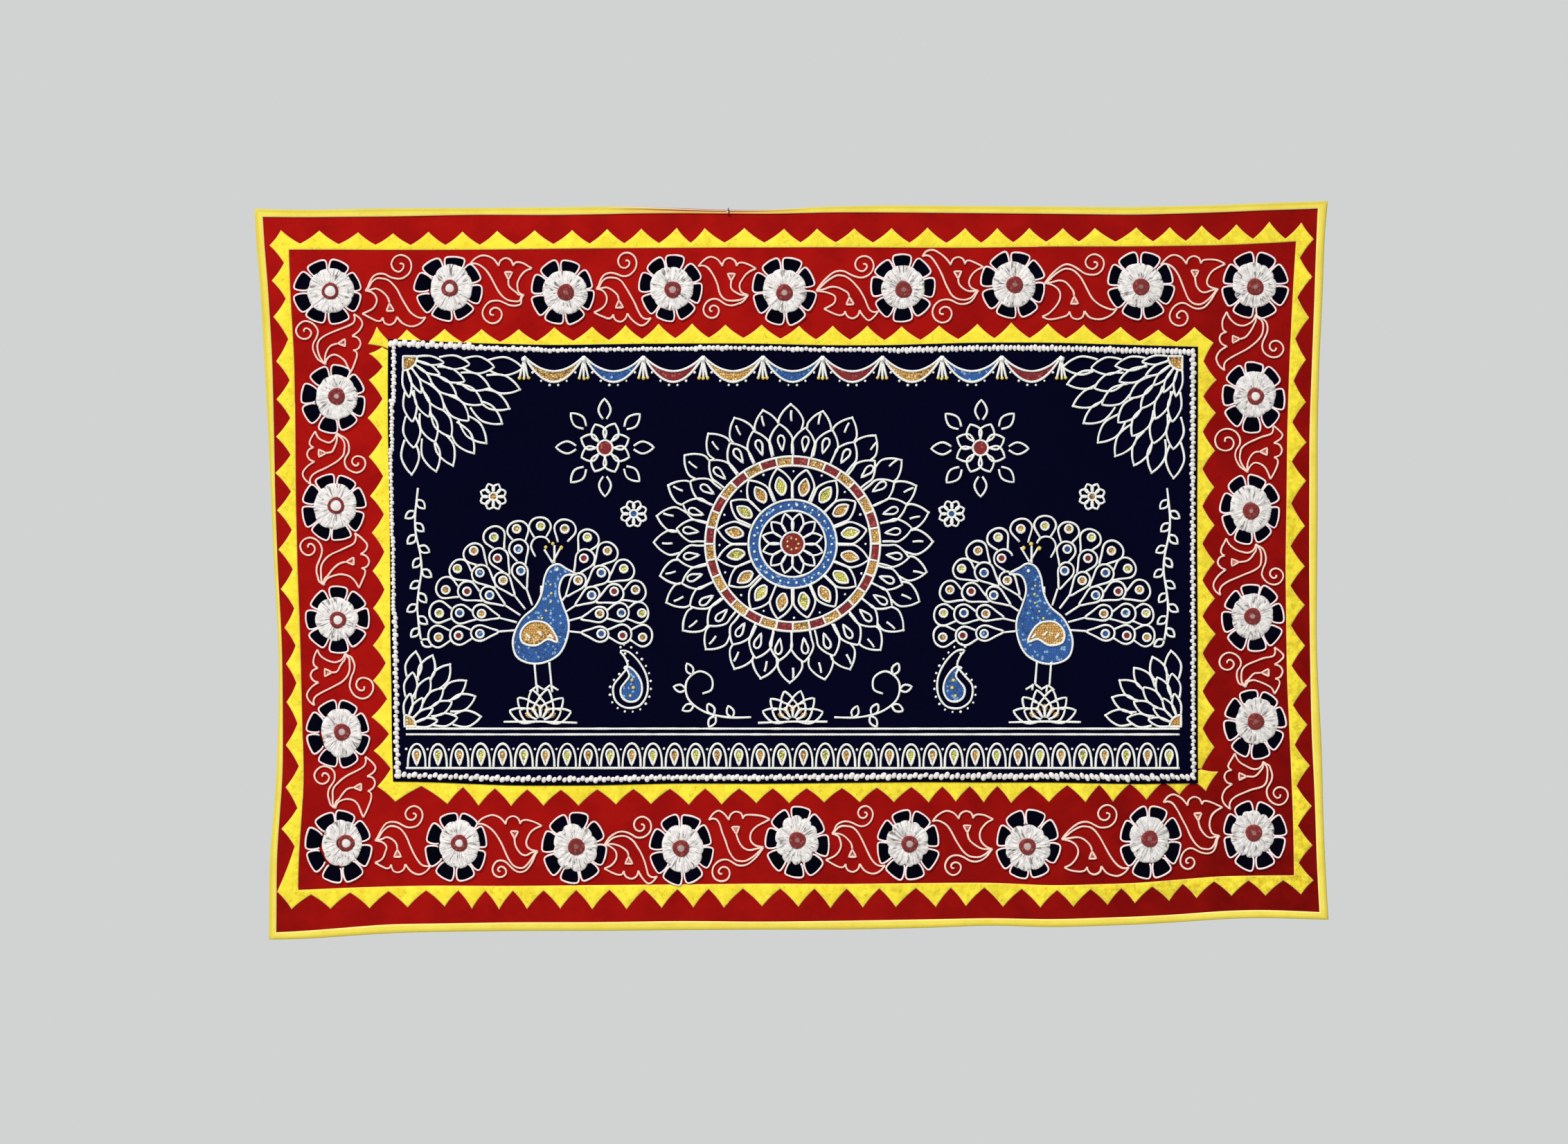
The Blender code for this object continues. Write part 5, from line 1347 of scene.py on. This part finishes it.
def makeTrim():
    s = trimSettings
    wander = random.Random(61)
    sides = {"top": (centreTop, 0, -1), "right": (centreRight, 1, -1),
             "bottom": (centreBottom, 0, 1), "left": (centreLeft, 1, 1)}
    bm = bmesh.new()
    for sideName, runs in trimRuns.items():
        side, axis, inward = sides[sideName]
        for run in runs:
            shift = (0, inward * run.insetMm) if axis == 0 else (inward * run.insetMm, 0)
            stretch = spread(side, np.linspace(run.start, run.end, 60)) + shift
            inside = centreInward(stretch[:, 0], stretch[:, 1]) > run.insetMm - 2.5
            for step, (x, z) in enumerate(evenSteps(stretch[inside], run.pitchMm)):
                sway = run.swayMm * (1 if step % 2 else -1)
                sway += wander.uniform(-1, 1) * s["placeWanderMm"]
                x, z = (x, z + sway) if axis == 0 else (x + sway, z)
                size = 1 + wander.uniform(-1, 1) * s["sizeWander"]
                at = np.array([x]), np.array([z])
                y = float(hungY(*at)[0] - onCentre(*at)[0]) - s["highMm"] * 0.55
                turn = math.radians(run.leanDeg) + wander.uniform(-1, 1) * s["leanWander"]
                turn += 0 if axis == 0 else math.pi / 2
                shape = Matrix.Diagonal((run.wideMm * size, s["highMm"] * wander.uniform(0.85, 1.15),
                                         run.longMm * size, 1))
                matrix = Matrix.Translation((x, y, z)) @ Matrix.Rotation(turn, 4, "Y") @ shape
                bmesh.ops.create_icosphere(bm, subdivisions=2, radius=1.0, matrix=matrix)
    bmesh.ops.scale(bm, vec=(mm, mm, mm), verts=bm.verts[:])
    bmesh.ops.recalc_face_normals(bm, faces=bm.faces[:])
    return finishMesh("ruchedTrim", meshFrom("ruchedTrim", bm), trimMaterial)


trimMaterial = cotton["white"].copy()
trimMaterial.name = "ruchedTrimCotton"
stand(makeTrim(), ["centre_trim"])
print("trim made")


# The design on the navy cloth: a lotus medallion, two dancing peacocks, quarter lotuses in the
# corners, swags above and a band of arches below. Each motif is drawn in its own frame in mm and
# set down at a given place. The x of a place counts from the cloth's middle line; the left half is
# drawn and the right half mirrors it, and no two petals are quite alike.

designSettings = {"middleX": 2.0, "cordMm": 3.3, "stepMm": 3.2, "fillHighMm": 0.95,
                  "fillThickMm": 0.6, "looseSize": 0.018, "looseTurn": 1.3, "knotMm": 1.9,
                  "fillStepMm": 3.2, "behindStepMm": 1.4}
designWander = random.Random(71)
designCords = {}  # a piece's name to its strokes
designFills = {}  # a stitch colour to its groups of outlines
designKnots = {}  # a knot colour to its places and sizes


def setDown(points, middle=(0, 0), turn=0.0, side=1, loose=1.0):  # a motif's points on the cloth
    size = 1 + designWander.uniform(-1, 1) * designSettings["looseSize"] * loose
    turn += math.radians(designWander.uniform(-1, 1) * designSettings["looseTurn"] * loose)
    points = np.array(points, float).reshape(-1, 2) * size
    x = points[:, 0] * math.cos(turn) - points[:, 1] * math.sin(turn) + middle[0]
    z = points[:, 0] * math.sin(turn) + points[:, 1] * math.cos(turn) + middle[1]
    return np.column_stack([designSettings["middleX"] + side * x, z])


def layStroke(group, points, closed=False):
    designCords.setdefault(group, []).append((points, closed))


def fillWith(colour, *outlines):  # stitches inside the first outline and outside the others
    designFills.setdefault(colour, []).append(
        [evenSteps(line, designSettings["fillStepMm"], True) for line in outlines])


def tieKnots(colour, places, radius=designSettings["knotMm"]):
    designKnots.setdefault(colour, []).extend((x, z, radius) for x, z in places)


def insideOf(points, outline):  # which of the points a closed outline goes round
    x, z = points[:, :1], points[:, 1:]
    start, end = outline, np.roll(outline, -1, axis=0)
    spans = (start[:, 1] > z) != (end[:, 1] > z)
    rise = np.where(end[:, 1] == start[:, 1], 1e-9, end[:, 1] - start[:, 1])
    crossing = start[:, 0] + (z - start[:, 1]) * (end[:, 0] - start[:, 0]) / rise
    return (spans & (x < crossing)).sum(axis=1) % 2 == 1


def layBehind(group, points, fronts, closed=False):  # only the stretches outside the fronts
    line = evenSteps(points, designSettings["behindStepMm"], closed)
    if closed:
        line = np.vstack([line, line[:1]])
    shown = np.ones(len(line), bool)
    for front in fronts:
        shown &= ~insideOf(line, front)
    for part in np.split(np.arange(len(line)), np.nonzero(np.diff(shown))[0] + 1):
        if shown[part[0]] and len(part) > 4:
            layStroke(group, line[part])


def petalShape(inner, outer, half, root=0.35):  # a pointed petal along +x, from root to root
    long = outer - inner
    side = smoothPath([(inner, half * root), (inner + 0.28 * long, half * 0.9),
                       (inner + 0.52 * long, half), (inner + 0.8 * long, half * 0.58),
                       (outer, 0)], steps=4)
    return np.vstack([side, side[-2::-1] * (1, -1)])


def dropShape(inner, outer, half):  # a drop along +x with a round end, closed
    long = outer - inner
    side = np.array([(inner + 0.3 * long, half * 0.5), (inner + 0.66 * long, half),
                     (inner + 0.92 * long, half * 0.68)])
    return smoothPath(np.vstack([[(inner, 0)], side, [(outer, 0)], side[::-1] * (1, -1)]),
                      closed=True, steps=4)


def roundShape(radius, sides=0):  # a circle, with a point about every 4 mm
    sides = sides or max(12, round(2 * math.pi * radius / 4))
    angle = np.arange(sides) * 2 * math.pi / sides
    return radius * np.column_stack([np.cos(angle), np.sin(angle)])


def arcShape(radius, start, end, step=4.0):  # part of a circle, angles in radians
    angle = np.linspace(start, end, max(3, round(abs(end - start) * radius / step) + 1))
    return radius * np.column_stack([np.cos(angle), np.sin(angle)])


def petalRing(group, middle, count, inner, outer, half, root, first=0.0, sweep=2 * math.pi,
              fronts=(), side=1):  # a ring or fan of petals; gives back their outlines
    petals = []
    for index in range(count):
        petal = setDown(petalShape(inner, outer, half, root), middle,
                        first + sweep * (index + 0.5) / count, side)
        petals.append(petal)
        if fronts:
            layBehind(group, petal, fronts)
        else:
            layStroke(group, petal)
    return petals


# The medallion: its bands, and its rings of petals from the inside out
medallionMiddle = (0, -470)
medallionRings = {
    "heart": {"count": 12, "inner": 17, "outer": 43, "half": 8.0, "root": 0.55},
    "lotus": {"count": 16, "inner": 62, "outer": 107, "half": 15.5, "root": 0.74},
    "crown": {"count": 28, "inner": 123, "outer": 166, "half": 15.6, "root": 0.82},
}


def drawMedallion():
    group, middle = "medallionCord", medallionMiddle
    for radius in (16.5, 46.5, 61.5, 109.5, 122.5):
        layStroke(group, setDown(roundShape(radius), middle, loose=0.2), True)
    fillWith("brick", setDown(roundShape(16), middle, loose=0))
    tieKnots("gold", setDown(roundShape(8, 7), middle))
    tieKnots("white", setDown(roundShape(54, 30), middle))
    fillWith("blue", setDown(roundShape(61), middle, loose=0), setDown(roundShape(47), middle, loose=0))
    petalRing(group, middle, **medallionRings["heart"])
    petalRing(group, middle, **medallionRings["lotus"])
    for index in range(16):  # an echo petal in each, worked solid, with a knot between two
        turn = 2 * math.pi * (index + 0.5) / 16
        echo = setDown(petalShape(70, 95, 7.2, 0.3), middle, turn)
        layStroke(group, echo, True)
        fillWith("gold" if index % 2 else "green", echo)
        tieKnots("white", setDown([(103, 0)], middle, turn + math.pi / 16))
    for index in range(32):  # the band of gold and brick blocks
        start, end = (2 * math.pi * k / 32 for k in (index, index + 1))
        block = np.vstack([arcShape(110, start, end), arcShape(122, end, start)])
        fillWith("brick" if index % 2 else "gold", setDown(block, middle, loose=0))
        layStroke(group, setDown([(110, 0), (122, 0)], middle, start, loose=0.3))
    crown = petalRing(group, middle, **medallionRings["crown"])
    back = petalRing(group, middle, 28, 148, 193, 17.0, 0.6, math.pi / 28, fronts=crown)
    for index in range(28):
        turn = 2 * math.pi * (index + 0.5) / 28
        layStroke(group, setDown(dropShape(131, 153, 4.8), middle, turn), True)
        layStroke(group, setDown([(170, 0), (178, 0.6), (185, 0)], middle, turn + math.pi / 28))
    tieKnots("white", [petal[len(petal) // 2] for petal in back])


# The peacocks face the medallion. Their outlines are about the middle of the spread tail.
peacockMiddle = (-352, -588)
peacockBody = [(-34, -38), (-38, -15), (-27, 12), (-8, 30), (1, 50), (4, 70), (11, 85), (23, 90),
               (34, 84), (49, 76), (35, 75), (28, 68), (25, 52), (31, 32), (39, 10), (37, -14),
               (26, -36), (4, -48), (-18, -48)]
peacockWing = [(-25, -20), (-27, -4), (-14, 9), (6, 8), (18, -4), (24, -19), (10, -15), (-6, -24)]
# Tail rings: how many feathers, from which radius to which, half their width and the eyes' colours
peacockTail = [(11, 58, 97, 11.0, "gold", "blue"), (13, 86, 127, 13.4, "blue", "brick"),
               (15, 114, 155, 15.2, "green", "gold")]


def drawPeacock(side):
    group, middle = "peacockCord", peacockMiddle
    body = setDown(smoothPath(peacockBody, True, 4), middle, side=side)
    wing = setDown(smoothPath(peacockWing, True, 4), middle, side=side)
    halo = setDown(roundShape(27), (middle[0] + 19, middle[1] + 92), side=side)
    layStroke(group, body, True)
    layStroke(group, wing, True)
    fillWith("blue", body, wing)
    fillWith("gold", wing)
    for row in ((-20, -8), (-4, -4), (12, -8)):  # feather lines on the wing
        layStroke(group, setDown([row, (row[0] + 6, row[1] - 6)], middle, side=side))
    tieKnots("white", setDown([(24, 81)], middle, side=side), 2.6)
    tieKnots("gold", setDown([(8, 24), (14, 36), (15, 48), (14, 60), (2, 14)], middle, side=side))
    for tip in ((7, 112), (19, 117), (31, 113)):
        layStroke(group, setDown([(19, 92), tip], middle, side=side))
        tieKnots("gold", setDown([tip], middle, side=side), 3.0)
    fronts = [body, halo]
    low, high = math.radians(-5), math.radians(185)
    for count, inner, outer, half, firstEye, secondEye in peacockTail:
        ring = []
        for index in range(count):
            turn = low + (high - low) * index / (count - 1)
            feather = setDown(dropShape(inner, outer, half), middle, turn, side)
            ring.append(feather)
            if any(insideOf(feather, front).mean() > 0.45 for front in (body, halo)):
                continue
            layBehind(group, feather, fronts, True)
            eyeOut = outer - 12
            eyeAt = (middle[0] + eyeOut * math.cos(turn), middle[1] + eyeOut * math.sin(turn))
            eye = setDown(roundShape(5.6), eyeAt, side=side)
            if not any(insideOf(eye, front).any() for front in fronts):
                layStroke(group, eye, True)
                fillWith(firstEye if index % 2 else secondEye, eye)
        fronts = fronts + ring
    for index in range(11):  # quills between the body and the first ring
        turn = low + (high - low) * index / 10
        layBehind(group, setDown([(34, 0), (59, 0)], middle, turn, side), [body, halo])
    for foot in ((-8, -48), (12, -47)):
        knee = (foot[0] + 3, foot[1] - 32)
        layStroke(group, setDown([foot, knee], middle, side=side))
        for toe in ((-9, -7), (1, -9), (10, -6)):
            layStroke(group, setDown([knee, (knee[0] + toe[0], knee[1] + toe[1])], middle, side=side))
    drawSeat(group, (middle[0], middle[1] - 130), 46, side)


def drawSeat(group, middle, reach, side):  # a half lotus on a line
    front = petalRing(group, middle, 5, 5, reach * 0.72, reach * 0.2, 0.3, math.radians(14),
                      math.radians(152), side=side)
    petalRing(group, middle, 6, 8, reach, reach * 0.22, 0.3, math.radians(4), math.radians(172),
              fronts=front, side=side)
    layStroke(group, setDown([(-reach * 1.1, -1), (0, 0), (reach * 1.1, -1)], middle, side=side))
    for petal in front:
        echo = petal.mean(axis=0) + (petal - petal.mean(axis=0)) * 0.42
        fillWith("gold", echo)


# The corners: quarter lotuses whose rings of petals lie behind each other like scales
cornerRings = {
    "upper": [(5, 20, 58, 6.1), (6, 50, 94, 9.4), (7, 84, 130, 12.0), (9, 118, 168, 12.5)],
    "lower": [(4, 16, 48, 6.2), (5, 40, 76, 9.0), (6, 66, 106, 11.2)],
}


def drawCorner(which, middle, first, side):
    group = which + "CornerCord"
    rings = cornerRings[which]
    quarter = math.pi / 2
    heart = np.vstack([[(0, 0)], arcShape(rings[0][1], 0, quarter)])
    heart = setDown(heart, middle, first, side, loose=0)
    layStroke(group, heart, True)
    fillWith("gold", heart)
    fronts = []
    for count, inner, outer, half in rings:
        fronts = fronts + petalRing(group, middle, count, inner, outer, half, 0.5, first, quarter,
                                    fronts=fronts, side=side)
    tieKnots("white", [petal[len(petal) // 2] for petal in fronts[-rings[-1][0]:]])


def drawFlower(group, middle, reach, side, colour="brick"):  # eight petals round a worked heart
    heart = setDown(roundShape(reach * 0.3), middle, side=side)
    layStroke(group, heart, True)
    fillWith(colour, heart)
    petalRing(group, middle, 8, reach * 0.3, reach, reach * 0.3, 0.36, side=side)


def drawStem(group, path, leafMm, halfMm, everyMm, side, lean=50):  # a stem, leaves to and fro
    line = evenSteps(smoothPath(path), everyMm)
    layStroke(group, setDown(smoothPath(path), side=side, loose=0))
    for index in range(1, len(line)):
        way = line[index] - line[index - 1]
        turn = math.atan2(way[1], way[0]) + math.radians(lean if index % 2 else -lean)
        layStroke(group, setDown(petalShape(1, leafMm, halfMm, 0.15), line[index], turn, side))


paisley = [(0, -32), (18, -25), (25, -6), (20, 16), (6, 34), (-12, 46), (-25, 45), (-17, 38),
           (-10, 26), (-16, 12), (-24, -6), (-17, -25)]


def drawPaisley(group, middle, turn, side):
    outline = smoothPath(paisley, True, 5)
    inner = smoothPath(paisley, True, 5) * 0.6 + (1.5, -3)
    layStroke(group, setDown(outline, middle, turn, side), True)
    placed = setDown(inner, middle, turn, side)
    layStroke(group, placed, True)
    fillWith("blue", placed)
    tieKnots("white", setDown(evenSteps(outline * 1.16, 11, True), middle, turn, side))
    tieKnots("gold", setDown([(2, -14), (4, -2), (0, 8)], middle, turn, side), 2.4)


swagSettings = {"count": 9, "fromX": -375.0, "z": -208.0, "outerMm": 36.0, "innerMm": 21.0,
                "tasselMm": 27.0}


def drawSwags():
    s = swagSettings
    wide = -2 * s["fromX"] / s["count"]
    t = np.linspace(0, 1, 15)
    for index in range(s["count"]):
        x = s["fromX"] + wide * (index + t)
        dip = 1 - (2 * t - 1) ** 2
        outer = setDown(np.column_stack([x, s["z"] - s["outerMm"] * dip]), loose=0)
        inner = setDown(np.column_stack([x, s["z"] - s["innerMm"] * dip]), loose=0)
        layStroke("swagCord", outer)
        layStroke("swagCord", inner)
        fillWith(("gold", "blue", "brick")[index % 3], np.vstack([outer, inner[-2:0:-1]]))
        tieKnots("white", outer[2:-2:2] + (0, -5))
    for index in range(s["count"] + 1):
        top = (s["fromX"] + wide * index, s["z"] - 4)
        for lean in (-13, 0, 13):
            way = math.radians(-90 + lean)
            tip = (s["tasselMm"] * math.cos(way), s["tasselMm"] * math.sin(way))
            layStroke("swagCord", setDown([(0, 0), tip], top))
            tieKnots("gold", setDown([tip], top), 2.6)
        tieKnots("white", setDown([(0, 0)], top), 4.2)


bandSettings = {"fromX": -540.0, "toX": 540.0, "topZ": -728.0, "lowZ": -783.0, "arches": 36,
                "gapMm": 2.5, "archMm": 33.0}


def drawBand():
    s = bandSettings
    wide = (s["toX"] - s["fromX"]) / s["arches"]
    for z in (s["topZ"], s["topZ"] - 8, s["lowZ"]):
        layStroke("bandCord", setDown([(s["fromX"], z), (s["toX"], z)], loose=0))
    t = np.linspace(0, math.pi, 13)
    half = wide / 2 - s["gapMm"]
    for index in range(s["arches"]):
        x = s["fromX"] + wide * (index + 0.5)
        arch = np.column_stack([-half * np.cos(t), s["archMm"] * np.sin(t) ** 0.75])
        placed = setDown(arch, (x, s["lowZ"] + 1))
        layStroke("bandCord", placed)
        leaf = setDown(dropShape(2, s["archMm"] - 9, half * 0.42), (x, s["lowZ"] + 2), math.pi / 2)
        layStroke("bandCord", leaf, True)
        fillWith("green" if index % 2 else "gold", leaf)
        tieKnots("white", setDown([(-wide / 2, s["archMm"] * 0.8)], (x, s["lowZ"])))


drawMedallion()
drawSwags()
drawBand()
for side in (1, -1):
    drawPeacock(side)
    drawCorner("upper", (-544, -208), -math.pi / 2, side)
    drawCorner("lower", (-542, -725), 0.0, side)
    drawStem("sprayCord", [(-523, -392), (-527, -445), (-518, -500), (-524, -555), (-519, -604)],
             17, 5.0, 17, side)
    drawFlower("sprayCord", (-262, -336), 36, side)
    for index in range(8):
        layStroke("sprayCord", setDown(petalShape(40, 68, 8.2, 0.3), (-262, -336),
                                       math.pi * (index + 1) / 4, side))
    drawFlower("sprayCord", (-418, -404), 19, side, "gold")
    drawFlower("sprayCord", (-222, -428), 19, side, "blue")
    drawPaisley("sprayCord", (-226, -668), math.radians(-12), side)
    scroll = smoothPath([(-58, -712), (-92, -712), (-124, -704), (-146, -686), (-148, -662),
                         (-131, -648), (-114, -656), (-113, -673), (-126, -679)])
    layStroke("sprayCord", setDown(scroll, side=side, loose=0))
    for place, turn in (((-84, -713), 110), ((-110, -709), 118), ((-108, -710), -120),
                        ((-138, -695), -155), ((-149, -674), 165), ((-140, -653), 115)):
        layStroke("sprayCord", setDown(petalShape(1, 18, 5.0, 0.15), place, math.radians(turn), side))
drawSeat("sprayCord", (0, -718), 44, 1)

for number, (name, strokes) in enumerate(sorted(designCords.items())):
    piece = layCords(name, strokes, cord["white"], designSettings["cordMm"], onCentre,
                     step=designSettings["stepMm"], seed=90 + number)
    stand(piece)
for colour, groups in sorted(designFills.items()):
    piece = cutCloth(colour + "Stitching", groups, stitch[colour],
                     lambda x, z: onCentre(x, z) + designSettings["fillHighMm"],
                     designSettings["fillThickMm"], edge=0.8, cell=12.0, drop=0.5)
    stand(piece)


def makeKnots(name, places, material):  # small round knots, each a wrap or two of thread
    wander = random.Random(83)
    bm = bmesh.new()
    for x, z, radius in places:
        at = np.array([x]), np.array([z])
        y = float(hungY(*at)[0] - onCentre(*at)[0]) - radius * 0.6
        size = radius * wander.uniform(0.88, 1.14)
        stretch = Matrix.Diagonal((size * wander.uniform(0.9, 1.12), size * 0.85, size, 1))
        bmesh.ops.create_icosphere(bm, subdivisions=1, radius=1.0,
                                   matrix=Matrix.Translation((x, y, z)) @ stretch)
    bmesh.ops.scale(bm, vec=(mm, mm, mm), verts=bm.verts[:])
    return finishMesh(name, meshFrom(name, bm), material)


stand(makeKnots("whiteKnots", designKnots["white"], cord["white"]))
stand(makeKnots("goldKnots", designKnots["gold"], cord["gold"]))
nailKnot = (-88.6, -6.6, 1.9)  # x and z of the thread knot at the nail's foot, and its radius
stand(makeKnots("nailKnot", [nailKnot], cord["cream"]))
print("design made:", sum(len(strokes) for strokes in designCords.values()), "strokes")


# The nail keeps its solid: dull steel, lighter and darker in patches of grime

def nailSteel():
    material, tree, shader = newMaterial("nailSteel", {"Metallic": 1.0, "Roughness": 0.45})
    place = addNode(tree, "ShaderNodeTexCoord").outputs["Object"]
    grime = addNode(tree, "ShaderNodeTexNoise", {"Vector": place, "Scale": noiseScale(1.5),
                                                 "Detail": 4.0})
    colour = addNode(tree, "ShaderNodeMix", {
        0: grime.outputs["Fac"], 6: hexColour("#8A7A74"), 7: hexColour("#4A3A36")},
        data_type="RGBA")
    tree.links.new(colour.outputs[2], shader.inputs["Base Color"])
    return material


nail = cadNodes["wall_nail"]
nail.data.materials.clear()
nail.data.materials.append(nailSteel())


# Camera, lights and floor

viewSettings = {"lensMm": 100.0, "sensorMm": 36.0, "frameWideM": 2.1916, "aimX": -0.0102,
                "aimZ": -0.5092}


def setView():
    s = viewSettings
    data = bpy.data.cameras.new("viewCamera")
    data.lens = s["lensMm"]
    data.sensor_width = s["sensorMm"]
    camera = addObject("viewCamera", data)
    away = s["frameWideM"] * s["lensMm"] / s["sensorMm"]
    camera.location = (s["aimX"], -away, s["aimZ"])
    camera.rotation_euler = (math.pi / 2, 0, 0)
    bpy.context.scene.camera = camera


lightSettings = [  # where each soft box stands, its side in metres and its power in watts
    ("fillLight", (-1.9, -3.0, 0.4), 2.2, 26.0),
    ("lowLight", (1.2, -3.4, -0.6), 2.6, 12.0),
]
skySettings = {"fromX": -0.62, "fromY": -1.0, "fromZ": 1.25, "spreadDeg": 8.0, "strength": 2.62,
               "room": 0.47}  # the high soft light, and how much the pale room itself adds


def setLights():
    aim = Vector((0, 0, viewSettings["aimZ"]))
    for name, place, side, power in lightSettings:
        data = bpy.data.lights.new(name, "AREA")
        data.size = side
        data.energy = power
        lamp = addObject(name, data)
        lamp.location = place
        lamp.rotation_euler = (aim - Vector(place)).to_track_quat("-Z", "Y").to_euler()
    data = bpy.data.lights.new("highLight", "SUN")
    data.angle = math.radians(skySettings["spreadDeg"])
    data.energy = skySettings["strength"]
    lamp = addObject("highLight", data)
    back = Vector((skySettings["fromX"], skySettings["fromY"], skySettings["fromZ"]))
    lamp.rotation_euler = (-back).to_track_quat("-Z", "Y").to_euler()
    # the room is seen at full strength, and lights the panel more weakly
    world = bpy.data.worlds.new("paleRoom")
    world.use_nodes = True
    tree = world.node_tree
    background = tree.nodes["Background"]
    background.inputs["Color"].default_value = hexColour("#D1D3D2")
    seen = addNode(tree, "ShaderNodeLightPath")
    level = addNode(tree, "ShaderNodeMapRange", {
        "Value": seen.outputs["Is Camera Ray"], "To Min": skySettings["room"], "To Max": 1.0})
    tree.links.new(level.outputs["Result"], background.inputs["Strength"])
    bpy.context.scene.world = world
    bpy.context.scene.view_settings.view_transform = "Standard"


floorSettings = {"radiusM": 2.3, "z": -1.85}


def layFloor():
    bm = bmesh.new()
    bmesh.ops.create_circle(bm, cap_ends=True, radius=floorSettings["radiusM"], segments=96)
    bmesh.ops.translate(bm, vec=(0, 0, floorSettings["z"]), verts=bm.verts[:])
    mesh = meshFrom("paleFloor", bm)
    material, _, shader = newMaterial("paleFloor", {"Roughness": 0.9})
    shader.inputs["Base Color"].default_value = hexColour("#CFCFCC")
    mesh.materials.append(material)
    addObject("paleFloor", mesh)


setView()
setLights()
layFloor()
print("camera, lights and floor set")

bpy.context.view_layer.update()
